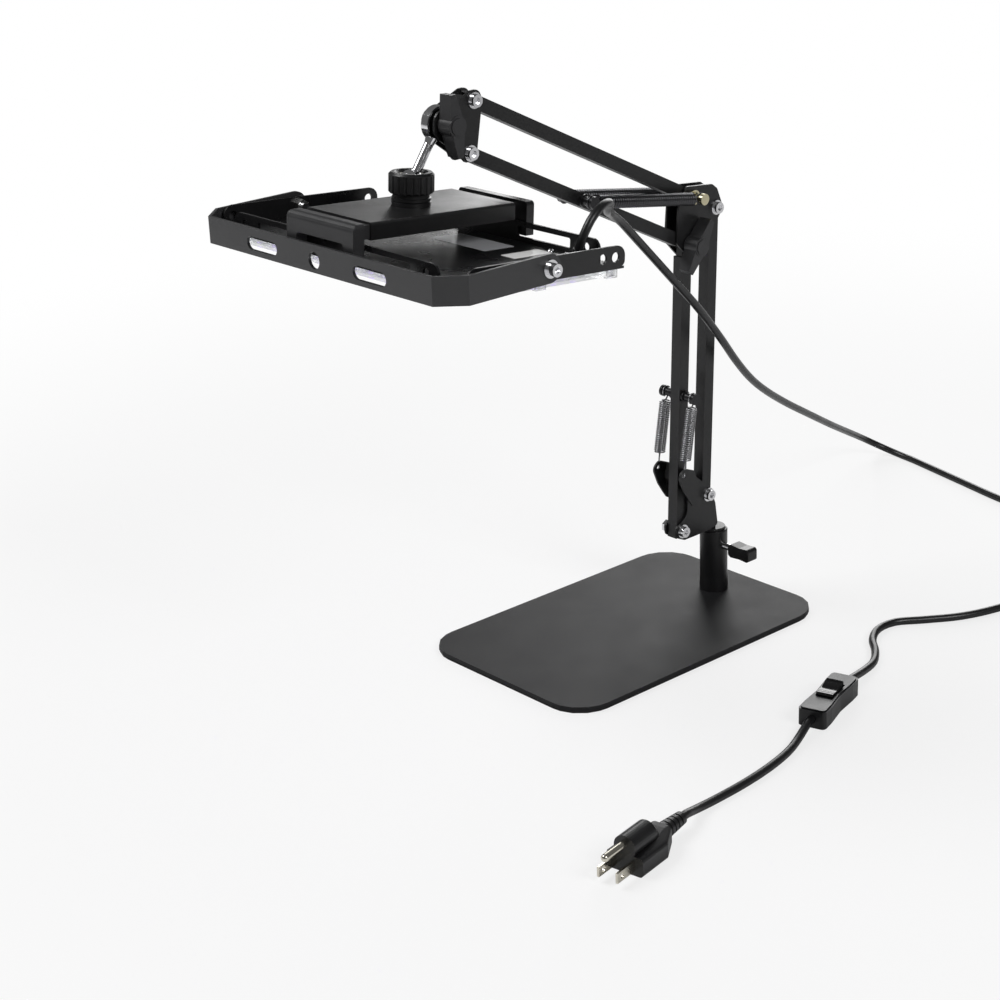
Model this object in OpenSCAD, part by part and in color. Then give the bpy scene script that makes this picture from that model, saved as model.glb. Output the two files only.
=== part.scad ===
// Exposure lamp for screen printing: a flat ultraviolet panel held over the screen
// by a sprung parallel arm on a weighted base plate.
// The origin is on the floor under the post. The arm stands in the plane x = 0 and reaches
// towards -Y. Sizes are in millimetres.

/* [Base] */
// Width of the base plate
base_w = 158; // [120:1:220]
// Reach of the base plate in front of the post
base_front = 209.5; // [150:0.5:280]
// Reach of the base plate behind the post
base_rear = 30.5; // [22:0.5:60]
// Corner radius of the base plate
base_corner_r = 26; // [8:1:28]
// Thickness of the steel plate
base_t = 3; // [2:0.5:6]
// Thickness of the foam pad under the plate
pad_t = 1.5; // [1:0.25:4]
// Diameter of the screw that holds the post
post_screw_d = 8; // [5:0.5:8]

/* [Post] */
// Outer diameter of the post
post_d = 20; // [17.6:0.2:24]
// Height of the post above the base plate
post_h = 46.5; // [40:0.5:70]
// Diameter of the arm's swivel pin
swivel_d = 12; // [9:0.5:12.5]
// Length of the swivel pin inside the post
swivel_len = 30; // [15:0.5:32]
// Height of the clamp screw above the base plate
clamp_screw_z = 35.5; // [31:0.5:37]
// Diameter of the clamp screw's thread
clamp_screw_d = 5; // [4:0.5:6]
// Length of the clamp screw's grip
grip_len = 19.6; // [16:0.2:36]
// Height of the clamp screw's grip
grip_h = 10; // [8:0.5:13]

/* [Arm] */
// Outside width of the square arm tubes
tube_w = 8.6; // [8:0.1:12]
// Wall of the arm tubes
tube_wall = 1.2; // [1:0.1:1.5]
// Pivot to pivot length of the lower arm
lower_len = 206.6; // [180:0.1:260]
// Lean of the lower arm towards the rear, in degrees
lower_lean = 2.44; // [0:0.01:6]
// Pivot to pivot length of the upper arm
upper_len = 211.65; // [180:0.05:260]
// Rise of the upper arm above level, in degrees
upper_rise = 26.4; // [20:0.1:30]
// Diameter of the pivot bolts
pivot_d = 5; // [4:0.25:5.5]
// Thickness of the bracket plates
bracket_t = 1.5; // [1:0.1:2.5]
// Gap between a tube and the bracket plate beside it
side_gap = 0.3; // [0.2:0.05:0.5]
// Diameter of the washers
washer_d = 10; // [9:0.5:11]
// Thickness of the washers
washer_t = 1; // [0.5:0.1:1.5]
// Diameter of the bolt heads
head_d = 7.6; // [7:0.1:9]
// Height of the bolt heads
head_h = 2.8; // [2.4:0.1:6]
// Radial running clearance of the pivots
run_gap = 0.06; // [0.03:0.01:0.1]

/* [Springs] */
// Sideways distance of the springs from the arm
spring_x = 12.5; // [12.3:0.1:15]
// Outer diameter of the upper springs
upper_spring_d = 9; // [7.4:0.1:9.2]
// Wire of the upper springs
upper_wire_d = 2; // [1.2:0.1:2.4]
// Curls of each upper spring
upper_curls = 26; // [12:1:26]
// Distance of the upper spring pin from the elbow pivot
upper_pin_at = 106.9; // [90:0.1:130]
// Outer diameter of the lower springs
lower_spring_d = 8.4; // [7.4:0.1:9]
// Wire of the lower springs
lower_wire_d = 1.1; // [0.9:0.1:1.4]
// Curls of each lower spring
lower_curls = 13; // [8:1:18]
// Distance of the lower spring pin from the base pivot
lower_pin_at = 99.3; // [90:0.1:120]
// Diameter of the spring pins
spring_pin_d = 6; // [4.5:0.1:6.5]
// Length of the spring pins
spring_pin_len = 32; // [31.5:0.5:40]

/* [Knobs] */
// Length of the wing knobs over both wings
wing_len = 38; // [30:1:40]
// Reach of the wing knobs from the arm's middle
wing_x = 18.5; // [17:0.5:26]
// Width of a wing at its root
wing_w = 10.5; // [8:0.5:12]

/* [Head joint] */
// Outer diameter of the eye
eye_d = 22; // [18:0.5:23]
// Width of the eye
eye_w = 6; // [5:0.5:8]
// Diameter of the bush in the eye
bush_d = 10.4; // [10:0.2:12]
// Diameter of the steel rod
rod_d = 5.8; // [5:0.2:7]
// Lean of the steel rod, in degrees
rod_lean = 35.8; // [33:0.1:38]
// Distance from the eye's axis to the ball's centre
rod_run = 39.35; // [36:0.05:44]
// Diameter of the steel ball
ball_d = 16; // [14:0.5:16.5]
// Diameter of the ribbed collar
collar_d = 27.7; // [26.5:0.1:32]
// Height of the ribbed collar
collar_h = 12.6; // [11:0.1:16]
// Number of ribs on the collar
collar_ribs = 20; // [12:1:28]
// Diameter of the socket under the collar
neck_d = 24; // [22.8:0.1:25]

/* [Clamp holder] */
// Width of the channel
channel_w = 61.4; // [50:0.2:64]
// Length of the channel
channel_len = 111; // [104:0.5:112]
// Height of the channel
channel_h = 10.4; // [9:0.2:12]
// Wall of the channel
channel_wall = 1.6; // [1:0.1:2]
// Width of the jaws
jaw_w = 64; // [60:0.5:72]
// Diameter of the guide rods
guide_d = 4; // [3:0.25:5]
// Distance between the guide rods
guide_pitch = 34; // [26:0.5:40]

/* [Lamp] */
// Width of the lamp pan
pan_w = 234; // [225:0.5:236]
// Depth of the lamp pan
pan_d = 124.5; // [118:0.5:125]
// Thickness of the pan's sheet steel
pan_t = 1.5; // [1:0.1:2]
// Height of the pan's flanges
flange_h = 12.4; // [11:0.1:16]
// Height of the pivot bolts above the pan's back plate
pan_axis_h = 6.6; // [6:0.1:9]
// Pitch of the lamp, in degrees
lamp_pitch = -4.6; // [-6:0.1:0]
// Thickness of the clear cover's sheet
cover_t = 1.5; // [1:0.1:2]
// Depth of the clear cover below the back plate
cover_h = 4.8; // [4.4:0.1:8]
// Columns of lamps on the board
led_columns = 12; // [6:1:14]
// Rows of lamps on the board
led_rows = 6; // [3:1:7]

/* [Mounting bracket] */
// Width of the mounting bracket over its arms
yoke_w = 243; // [241:0.5:250]
// Gap between the pan's front and the mounting bracket
yoke_gap = 10.65; // [9.7:0.05:26]
// Height of the mounting bracket's strip
yoke_h = 17; // [14:0.5:20]
// Thickness of the mounting bracket
yoke_t = 2; // [1.5:0.1:2]
// Length of the two slots
slot_len = 30.5; // [20:0.5:40]
// Width of the two slots
slot_w = 8.4; // [5:0.1:10]
// Distance between the slots' centres
slot_pitch = 104; // [80:1:120]
// Diameter of the centre hole
centre_hole_d = 10.5; // [6:0.5:12]

/* [Cord] */
// Diameter of the cord
cord_d = 5.4; // [5:0.1:5.6]
// Turns of cord laid away behind the lamp, beyond the last quarter turn
coil_turns = 2; // [2:1:4]
// Mean radius of the coil
coil_r = 28.6; // [27:0.1:32]
// Length of the cord switch
switch_len = 57; // [50:0.5:66]
// Width of the cord switch
switch_w = 19; // [17:0.5:23]
// Height of the cord switch
switch_h = 13.5; // [12.5:0.5:16]
// Width of the plug body
plug_w = 25; // [23:0.5:30]
// Distance of the ground pin above the blades
ground_pitch = 11.9; // [11.5:0.1:12.3]

/* [Hidden] */
$fn = 48;
// Base and post
base_top = pad_t + base_t;
post_top = base_top + post_h;
bore_r = swivel_d / 2 + run_gap;
collar_seat = 1.2;
rim_r = post_d / 2 - 1.4;
flare_h = 10;
flare_r = 0.3;
bracket_floor = post_top + 2.1;
clamp_z = base_top + clamp_screw_z;
clamp_tip_x = swivel_d / 2 + 0.3;
grip_x = post_d / 2 + 8.2;
grip_y = 9;
// Bracket stack across the arm
tube_x = tube_w / 2;
plate_in = tube_x + side_gap;
plate_out = plate_in + bracket_t;
head_in = plate_out + washer_t;
pivot_r = pivot_d / 2;
hole_r = pivot_r + run_gap;
end_r = tube_w / 2 + 1;
head_end_r = tube_w / 2 - 1;
nut_h = 3.2;
knob_reach = wing_x - plate_out - 1;
knob_bore = knob_reach * 0.6;
// Pivots as [y, z]; the links of a parallel arm share one length and one angle
base_front_pivot = [-38.3, base_top + 56.8];
base_side = [26.2, 20.6];
elbow_side = [4.6, 31.4];
base_rear_pivot = base_front_pivot + base_side;
lower_dir = [sin(lower_lean), cos(lower_lean)];
upper_dir = [-cos(upper_rise), sin(upper_rise)];
elbow_pivot = base_front_pivot + lower_len * lower_dir;
elbow_rear_pivot = elbow_pivot + base_side;
elbow_top_pivot = elbow_pivot + elbow_side;
head_pivot = elbow_pivot + upper_len * upper_dir;
head_top_pivot = head_pivot + elbow_side;
lower_turn = -lower_lean;
upper_turn = 90 - upper_rise;
// Forked joint at the elbow
tongue_x = tube_x - tube_wall - 0.4;
fork_clear = 9;
// Spring ends
lower_pin = base_front_pivot + lower_pin_at * lower_dir;
ear_hole = base_front_pivot + [-5.2, 44.9];
ear_hole_r = 1.9;
upper_pin = elbow_pivot + upper_pin_at * upper_dir;
cap_d = spring_pin_d + 2;
hook_gap = 0.25;
cap_t = 2;
// Head joint
eye_axis = head_pivot + [-18.8, 20.5];
ball_from_eye = -rod_run * [sin(rod_lean), cos(rod_lean)];
ball_at = eye_axis + ball_from_eye;
bush_r = bush_d / 2;
eye_r = eye_d / 2;
ball_r = ball_d / 2;
seat_gap = 0.05;
// Lamp frame: its origin is on the mounting bracket's pivot, and the ball stands over it
ball_in_lamp = [-2, 31.4];
lamp_at = ball_at - [
    ball_in_lamp[0] * cos(lamp_pitch) - ball_in_lamp[1] * sin(lamp_pitch),
    ball_in_lamp[0] * sin(lamp_pitch) + ball_in_lamp[1] * cos(lamp_pitch)
];
back_z = -pan_axis_h;
flange_top = back_z + flange_h;
pan_x = pan_w / 2;
pan_y = pan_d / 2;
cover_z = back_z - pan_t - cover_h;
board_t = 1;
chip_h = 0.8;
board_w = 2 * (pan_x - 14);
board_d = 2 * (pan_y - 9);
cover_w = 2 * (pan_x - 4);
cover_d = 2 * (pan_y - 1);
channel_y = ball_in_lamp[0] + 0.8;
channel_top = 18.1;
channel_z = channel_top - channel_h;
channel_front = channel_y - channel_len / 2;
channel_back = channel_y + channel_len / 2;
neck_top = ball_in_lamp[1] + 5.2;
collar_z = 25.6;
thread_r = neck_d / 2 - 0.9;
seat_r = ball_r + 1.6;
jaw_t = 6;
jaw_front_y = -pan_y - 0.1;
front_jaw_t = 8.2;
jaw_back_y = pan_y + 0.3;
jaw_hook = 2.5;
guide_z = channel_z + channel_h / 2;
yoke_reach = pan_y + yoke_gap + yoke_t;
side_bolt_x = yoke_w / 2;
arm_in = side_bolt_x - yoke_t;
// Cable entry on the pan's back plate, in the lamp frame, with its lean to +X and +Y in degrees
gland_at = [87, pan_y - 10.1];
gland_h = 6.2;
gland_d = 9;
gland_lean = [18, 4];

// Cord routes, as round points through which a smooth curve runs
gland_out = [
    sin(gland_lean[0]) * cos(gland_lean[1]), sin(gland_lean[1]),
    cos(gland_lean[0]) * cos(gland_lean[1])
];
gland_end = [gland_at[0], gland_at[1], back_z] + gland_h * gland_out;
gland_top = [0, lamp_at[0], lamp_at[1]] + pitched(gland_end);
gland_dir = pitched(gland_out);
hanging_points = [
    [91.7, -201.2, 330.5], [89.4, -190.2, 336.4], [83.5, -177.8, 335.4], [74.8, -170.3, 328.6],
    [66.3, -162.7, 324.5], [59.1, -153.8, 320.8], [53.7, -144.3, 315.8], [49.8, -134.9, 309.6],
    [44.4, -116.9, 294.7], [40.4, -99.1, 279.1], [35.5, -72.5, 255], [30, -45.9, 231],
    [21, -14.9, 201.5], [11.8, 10.2, 177.8], [1.8, 36.6, 156], [-8.7, 65, 137],
    [-23.4, 104.2, 114.4], [-42.3, 154, 87.8], [-62.7, 203.5, 61.9], [-80.7, 243, 42.1],
    [-90.3, 262.5, 32.4], [-94.8, 272.4, 27.5]
];
floor_start = [-98.8, 282.4, 22.4];
floor_start_dir = [-0.265, 0.853, -0.445];
floor_points = [
    [-101.1, 292.7, 16.9], [-97.9, 302.6, 10.8], [-89.7, 309.6, 5.8], [-78.4, 312.1, 3.2],
    [-66.6, 311, 2.75], [-55.1, 308.6, 2.75], [-5, 297, 2.75], [44, 286, 2.75], [86, 282, 2.75]
];
switch_points = [
    [165, 212, 2.75], [170, 180, 2.75], [172, 146, 2.75], [168, 114, 2.75], [158, 85, 2.75],
    [143, 62, 2.75], [131, 45, 2.75], [130, 28, 2.75], [138, 12, 2.75], [151, -1, 2.75],
    [161, -15, 2.75], [166, -31, 3.6]
];
plug_points = [
    [199, -135, 3.4], [205, -151, 2.9], [210, -174, 2.75], [213, -200, 2.75],
    [214, -226, 2.75], [216, -244, 4.5]
];
// The coil winds in on the floor and out again on top of itself
coil_at = [130, 250];
coil_step = cord_d + 0.5;
coil_rise = cord_d + 0.5;
coil_sweep = 360 * coil_turns + 90;
floor_gap = cord_d / 2;
// Switch and plug on the cord
switch_at = [182.4, -86.2];
switch_turn = -72;
switch_cord_z = 6.5;
plug_at = [232, -319];
plug_turn = -79.5;
plug_cord_z = 8.5;
blade_z = 7;
blade_pitch = 12.7;
plug_len = 35;
relief_len = 22;

// Unit vector along v
function unit(v) = v / norm(v);

// Vector of the lamp's frame, turned by the lamp's pitch
function pitched(v) = [
    v[0], v[1] * cos(lamp_pitch) - v[2] * sin(lamp_pitch),
    v[1] * sin(lamp_pitch) + v[2] * cos(lamp_pitch)
];

// Point on a smooth curve through p0..p3, between p1 and p2
function blend_point(p0, p1, p2, p3, t) =
    0.5 * (2 * p1 + (p2 - p0) * t + (2 * p0 - 5 * p1 + 4 * p2 - p3) * t * t
    + (3 * p1 - p0 - 3 * p2 + p3) * t * t * t);

// Smooth curve through the points p, with about one point for each step of its length
function smooth(p, step) = [
    for (i = [1:len(p) - 3])
        let (n = max(1, round(norm(p[i + 1] - p[i]) / step)))
        for (k = [0:n - 1]) blend_point(p[i - 1], p[i], p[i + 1], p[i + 2], k / n),
    p[len(p) - 2]
];

// Route of a cord that starts at a and ends at b, straight for one diameter at both ends
function cord_route(a, a_dir, points, b, b_dir, step = 18) =
    let (
        a1 = a + unit(a_dir) * cord_d,
        b1 = b - unit(b_dir) * cord_d,
        inner = concat([a, a1], points, [b1, b])
    )
    concat([a], smooth(inner, step), [b]);

// Directions along a path; its two ends keep the direction of their own segment
function path_dirs(p) = [
    for (i = [0:len(p) - 1]) unit(p[min(i + 1, len(p) - 1)] - p[max(i - 1, 0)])
];

// Side vectors carried along the path without twist
function path_sides(dirs, i = 0, side = [], out = []) =
    i == len(dirs) ? out :
    let (
        guess = i == 0 ? (abs(dirs[0][2]) < 0.8 ? [0, 0, 1] : [1, 0, 0]) : side,
        flat = unit(guess - dirs[i] * (guess * dirs[i]))
    )
    path_sides(dirs, i + 1, flat, concat(out, [flat]));

// Tube of radius r along the path p
module tube(p, r, sides) {
    dirs = path_dirs(p);
    across = path_sides(dirs);
    n = len(p);
    ring_points = [
        for (i = [0:n - 1])
            let (u = across[i], v = cross(dirs[i], across[i]))
            for (k = [0:sides - 1])
                p[i] + r * (cos(360 * k / sides) * u + sin(360 * k / sides) * v)
    ];
    skin = [
        for (i = [0:n - 2], k = [0:sides - 1])
            let (
                a = i * sides + k,
                b = i * sides + (k + 1) % sides
            )
            each [[a, b + sides, b], [a, a + sides, b + sides]]
    ];
    near_end = [for (k = [1:sides - 2]) [0, k, k + 1]];
    far_end = [
        for (k = [1:sides - 2])
            [(n - 1) * sides, (n - 1) * sides + k + 1, (n - 1) * sides + k]
    ];
    polyhedron(ring_points, concat(skin, near_end, far_end), convexity = 6);
}

// Least distance between points of a path that are more than skip points apart
function least_gap(p, skip, r) = min([
    for (i = [0:len(p) - 1 - skip], j = [i + skip:len(p) - 1]) norm(p[i] - p[j])
]) - 2 * r;

// Cylinder along X at y, z from x0 to x1
module xrod(r, x0, x1, at) {
    translate([min(x0, x1), at[0], at[1]]) rotate([0, 90, 0]) cylinder(h = abs(x1 - x0), r = r);
}

// Six-sided prism along X
module xhex(r, x0, x1, at) {
    translate([min(x0, x1), at[0], at[1]])
        rotate([0, 90, 0])
            cylinder(h = abs(x1 - x0), r = r, $fn = 6);
}

// Flat plate in the y, z plane from x0, thick t
module yz_plate(x0, t) {
    translate([x0, 0, 0]) rotate([90, 0, 90]) linear_extrude(t) children();
}

// Outline through corners [y, z, r], each rounded by its own radius r
function corner_arc(a, b, c, r, steps = 5) =
    let (
        u = unit([a[0] - b[0], a[1] - b[1]]),
        v = unit([c[0] - b[0], c[1] - b[1]]),
        half = acos(max(-1, min(1, u * v))) / 2,
        run = r / tan(half),
        mid = unit(u + v),
        centre = [b[0], b[1]] + mid * (r / sin(half)),
        p = [b[0], b[1]] + u * run,
        q = [b[0], b[1]] + v * run
    )
    r <= 0 ? [[b[0], b[1]]] :
    [for (k = [0:steps]) centre + r * unit((p - centre) * (1 - k / steps) + (q - centre) * k / steps)];
function rounded(c) = [
    for (i = [0:len(c) - 1])
        each corner_arc(c[(i + len(c) - 1) % len(c)], c[i], c[(i + 1) % len(c)], c[i][2])
];

// Shift outline corners [y, z, r] so that the pivot at is their origin
function shifted(c, at) = [for (p = c) [p[0] + at[0], p[1] + at[1], p[2]]];

// Rectangle with round corners
module round_rect(w, d, r) {
    polygon(rounded([[-w / 2, -d / 2, r], [w / 2, -d / 2, r], [w / 2, d / 2, r], [-w / 2, d / 2, r]]));
}

// Both sides of the arm: the children at +X and mirrored at -X
module both_sides() {
    children();
    mirror([1, 0, 0]) children();
}

// Places the children in a link's frame, whose Z runs from pivot to pivot
module in_link(at, turn) {
    translate([0, at[0], at[1]]) rotate([turn, 0, 0]) children();
}

// Places the children in the lamp's frame
module in_lamp() {
    translate([0, lamp_at[0], lamp_at[1]]) rotate([lamp_pitch, 0, 0]) children();
}

// Bolt through a bracket along X: socket head, washers and nut
module arm_bolt(at) {
    difference() {
        union() {
            xrod(head_d / 2, head_in, head_in + head_h, at);
            xrod(washer_d / 2, plate_out, head_in, at);
            xrod(pivot_r, -head_in - nut_h - 1, head_in, at);
        }
        xhex(head_d * 0.28, head_in + head_h * 0.45, head_in + head_h + 1, at);
    }
}

// Washer and nut on the far side of a bolt
module arm_nut(at) {
    difference() {
        union() {
            xrod(washer_d / 2, -plate_out, -head_in, at);
            xhex(head_d * 0.6, -head_in, -head_in - nut_h, at);
        }
        xrod(pivot_r + 0.02, -head_in - nut_h - 2, 0, at);
    }
}

// Square tube along Z from z0 to z1
module square_tube(z0, z1) {
    difference() {
        translate([-tube_x, -tube_x, z0]) cube([tube_w, tube_w, z1 - z0]);
        translate([-tube_x + tube_wall, -tube_x + tube_wall, z0 - 1])
            cube([tube_w - 2 * tube_wall, tube_w - 2 * tube_wall, z1 - z0 + 2]);
    }
}

// Plain arm tube with a pivot hole at each end, and far beyond the second one
module arm_tube(length, far = end_r) {
    difference() {
        square_tube(-end_r, length + far);
        for (z = [0, length]) xrod(hole_r, -tube_w, tube_w, [0, z]);
    }
}

// Wing knob on an axis along X: hub, cap and two thick tapered wings, turned by angle
module wing_knob(at, angle) {
    tip_w = wing_w * 0.44;
    translate([plate_out + 1, at[0], at[1]]) rotate([angle, 0, 0]) difference() {
        union() {
            rotate([0, 90, 0]) cylinder(h = knob_reach, r = 6.5);
            translate([knob_reach - 0.1, 0, 0]) rotate([0, 90, 0]) cylinder(h = 0.7, r = 5.2);
            for (side = [-1, 1]) hull() {
                translate([0.2, -wing_w / 2, -1]) cube([knob_reach - 0.4, wing_w, 2]);
                translate([0.8, side > 0 ? -wing_w / 2 : wing_w / 2 - tip_w, side * (wing_len / 2 - 2) - 2])
                    cube([knob_reach - 1.6, tip_w, 4]);
            }
        }
        translate([-1, 0, 0]) rotate([0, 90, 0]) cylinder(h = knob_bore + 1, r = hole_r);
    }
}

module base_plate() {
    color("#26262a") difference() {
        translate([0, (base_rear - base_front) / 2, pad_t])
            linear_extrude(base_t) round_rect(base_w, base_rear + base_front, base_corner_r);
        translate([0, 0, pad_t - 1]) cylinder(h = base_t + 2, d = post_screw_d + 0.4);
        translate([0, 0, pad_t - 0.01]) cylinder(h = base_t * 0.6, r1 = post_screw_d * 0.85, r2 = post_screw_d * 0.5);
    }
}

module base_pad() {
    color("#161618") translate([0, (base_rear - base_front) / 2, 0])
        linear_extrude(pad_t)
            round_rect(base_w - 1, base_rear + base_front - 1, base_corner_r - 0.5);
}

module post() {
    r = post_d / 2;
    thread_depth = 13;
    color("#202024") difference() {
        translate([0, 0, base_top]) rotate_extrude() polygon([
            [0, 0], [r + flare_r, 0], [r + flare_r, flare_h * 0.3], [r, flare_h],
            [r, post_h - 0.6], [r - 0.6, post_h], [0, post_h]
        ]);
        translate([0, 0, post_top - swivel_len - 1]) cylinder(h = swivel_len + 2, r = bore_r);
        translate([0, 0, post_top - collar_seat]) cylinder(h = collar_seat + 1, r = rim_r);
        translate([0, 0, base_top - 1]) cylinder(h = thread_depth + 1, d = post_screw_d + 0.1);
        xrod(clamp_screw_d / 2 + run_gap, 0, post_d, [0, clamp_z]);
    }
}

module post_screw() {
    color("silver") difference() {
        translate([0, 0, pad_t + 0.1]) rotate_extrude() polygon([
            [0, 0], [post_screw_d * 0.8, 0], [post_screw_d * 0.5, base_t * 0.54],
            [post_screw_d / 2, base_t + 12], [0, base_t + 12]
        ]);
        translate([0, 0, pad_t]) cylinder(h = 1.2, r = post_screw_d * 0.32, $fn = 6);
    }
}

module clamp_screw() {
    color("silver") {
        xrod(clamp_screw_d / 2, clamp_tip_x, grip_x + grip_len * 0.5, [0, clamp_z]);
    }
}

module clamp_grip() {
    waist = 0.7;
    color("#1c1c20") difference() {
        translate([grip_x, -grip_y / 2, clamp_z]) rotate([-90, 0, 0]) linear_extrude(grip_y)
            polygon(rounded([
                [0, -grip_h * 0.34, 1], [2.5, -grip_h / 2, 1.5],
                [grip_len * 0.55, -grip_h / 2 + waist, 8], [grip_len, -grip_h / 2, 2.2],
                [grip_len, grip_h / 2, 2.2], [grip_len * 0.55, grip_h / 2 - waist, 8],
                [2.5, grip_h / 2, 1.5], [0, grip_h * 0.34, 1]
            ]));
        xrod(clamp_screw_d / 2 + 0.02, grip_x - 1, grip_x + grip_len * 0.5, [0, clamp_z]);
    }
}

module swivel_pin() {
    color("silver") translate([0, 0, post_top - swivel_len]) {
        cylinder(h = swivel_len, d = swivel_d);
        translate([0, 0, swivel_len - collar_seat + 0.2])
            cylinder(h = bracket_floor - post_top + collar_seat - 0.2, r = rim_r - 0.4);
    }
}

// Corners of the base bracket's side plates, relative to the front pivot
base_plate_corners = [
    [-6.5, 3, 3], [-5.5, -4, 4], [2, -7.4, 5], [14.7, -7.4, 1],
    [36.3, -5.6, 2.5], [33.8, 11.9, 4], [28.9, 24.7, 4], [20.7, 31.5, 4],
    [5.6, 45, 3], [2, 32, 3], [5.4, 23, 8], [5, 11, 8]
];
// The ear that is bent outwards for a spring's hook, relative to the front pivot
ear_corners = [
    [5.6, 46, 2], [-4, 50, 4], [-10.5, 45.5, 5], [-5.5, 33, 8], [0, 24.5, 6], [7.5, 14.5, 3], [9, 30, 1]
];

module base_bracket() {
    floor_in = base_front_pivot[0] + 11;
    floor_out = base_front_pivot[0] + 35.6;
    ear_x = spring_x - bracket_t / 2;
    color("#232327") difference() {
        union() {
            both_sides() yz_plate(plate_in, bracket_t)
                polygon(rounded(shifted(base_plate_corners, base_front_pivot)));
            both_sides() yz_plate(ear_x, bracket_t)
                polygon(rounded(shifted(ear_corners, base_front_pivot)));
            both_sides() hull() {
                yz_plate(plate_in, bracket_t) polygon([for (p = [
                    [5.2, 45.2], [2.2, 33], [3.4, 29], [7, 43]
                ]) p + base_front_pivot]);
                yz_plate(ear_x, bracket_t) polygon([for (p = [
                    [2.6, 46.6], [0.6, 36], [1.6, 31], [4, 45]
                ]) p + base_front_pivot]);
            }
            translate([-plate_in - 0.01, floor_in, bracket_floor])
                cube([2 * plate_in + 0.02, floor_out - floor_in, bracket_t]);
        }
        for (at = [base_front_pivot, base_rear_pivot])
            xrod(pivot_r + 0.1, -plate_out - 1, plate_out + 1, at);
        both_sides() xrod(ear_hole_r, ear_x - 1, ear_x + bracket_t + 1, ear_hole);
    }
}

module base_bolts() {
    color("gainsboro") for (at = [base_front_pivot, base_rear_pivot]) {
        arm_bolt(at);
        arm_nut(at);
    }
}

module lower_front_bar() {
    color("#1b1b1e") in_link(base_front_pivot, lower_turn) difference() {
        union() {
            square_tube(-end_r, lower_len - fork_clear);
            translate([-tongue_x, -tube_x + tube_wall - 0.1, lower_len - fork_clear - 14])
                cube([2 * tongue_x, tube_w - 2 * tube_wall + 0.2, fork_clear + 14]);
            xrod(tube_x - tube_wall + 0.1, -tongue_x, tongue_x, [0, lower_len]);
        }
        for (z = [0, lower_len]) xrod(hole_r, -tube_w, tube_w, [0, z]);
        xrod(spring_pin_d / 2 + 0.01, -tube_w, tube_w, [0, lower_pin_at]);
    }
}

module lower_rear_bar() {
    color("#1b1b1e") in_link(base_rear_pivot, lower_turn) arm_tube(lower_len);
}

// Cross pin for a pair of springs, with a cap on each end
module spring_pin(at) {
    xrod(spring_pin_d / 2, -spring_pin_len / 2, spring_pin_len / 2, at);
    both_sides() xrod(cap_d / 2, spring_pin_len / 2 - cap_t, spring_pin_len / 2, at);
    both_sides() xrod(cap_d / 2, tube_x + 0.1, tube_x + cap_t, at);
}

module lower_spring_pin() {
    color("#2a2a2e") spring_pin(lower_pin);
}

// Points of a spring from a to b at sideways place x; lead is the straight wire at each end
function spring_path(x, a, b, outer_d, wire, curls, lead_a, lead_b) =
    let (
        p = [x, a[0], a[1]],
        q = [x, b[0], b[1]],
        along = unit(q - p),
        side = [1, 0, 0],
        up = cross(along, side),
        r = (outer_d - wire) / 2,
        run = norm(q - p) - lead_a - lead_b
    )
    concat(
        [p, p + along * lead_a * 0.5],
        [for (i = [0:8 * curls])
            let (turn = 360 * i / 8, grow = min(1, i / 4, (8 * curls - i) / 4 + 0.05))
            p + along * (lead_a + run * i / (8 * curls))
                + max(grow, 0.12) * r * (cos(turn) * side + sin(turn) * up)],
        [q - along * lead_b * 0.5, q]
    );

module spring(x, a, b, outer_d, wire, curls, lead_a, lead_b) {
    path = spring_path(x, a, b, outer_d, wire, curls, lead_a, lead_b);
    echo(spring_gap = least_gap(path, 6, wire / 2));
    tube(path, wire / 2, 6);
}

// The lower springs hang between the pin and the ears; the upper ones lie along the arm
module lower_spring(side) {
    down = unit(ear_hole - lower_pin);
    color("#55555c") spring(side * spring_x, lower_pin + down * (spring_pin_d / 2 + hook_gap),
        ear_hole - down * 4.9, lower_spring_d, lower_wire_d, lower_curls, 4, 8);
}

module upper_spring(side) {
    along = unit(elbow_top_pivot - upper_pin);
    color("#2c2c31") spring(side * spring_x, upper_pin + along * (spring_pin_d / 2 + hook_gap),
        elbow_top_pivot - along * (pivot_r + hook_gap),
        upper_spring_d, upper_wire_d, upper_curls, 3, 5);
}

module lower_spring_left() {
    lower_spring(-1);
}

module lower_spring_right() {
    lower_spring(1);
}

module upper_spring_left() {
    upper_spring(-1);
}

module upper_spring_right() {
    upper_spring(1);
}

// Corners of the elbow bracket's side plates, relative to the elbow pivot
elbow_corners = [
    [-3.2, 39.9, 4], [22.6, 37.3, 4], [27.5, 33.5, 4], [33.2, 19.6, 4], [28.2, 12.9, 4],
    [18.4, 0.6, 4], [14.5, -5.4, 3], [4, -14, 3], [-8.6, -1, 3], [-12, 2.6, 3], [-9.9, 26, 8]
];

module elbow_bracket() {
    color("#1f1f23") difference() {
        union() {
            both_sides() yz_plate(plate_in, bracket_t)
                polygon(rounded(shifted(elbow_corners, elbow_pivot)));
            translate([-plate_in - 0.01, elbow_pivot[0] + 13.6, elbow_pivot[1] + 35.2])
                rotate([-5.5, 0, 0]) cube([2 * plate_in + 0.02, 8.5, bracket_t]);
        }
        for (at = [elbow_pivot, elbow_rear_pivot, elbow_top_pivot])
            xrod(pivot_r + 0.1, -plate_out - 1, plate_out + 1, at);
    }
}

module elbow_rear_bolt() {
    color("gainsboro") {
        arm_bolt(elbow_rear_pivot);
        arm_nut(elbow_rear_pivot);
    }
}

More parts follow.
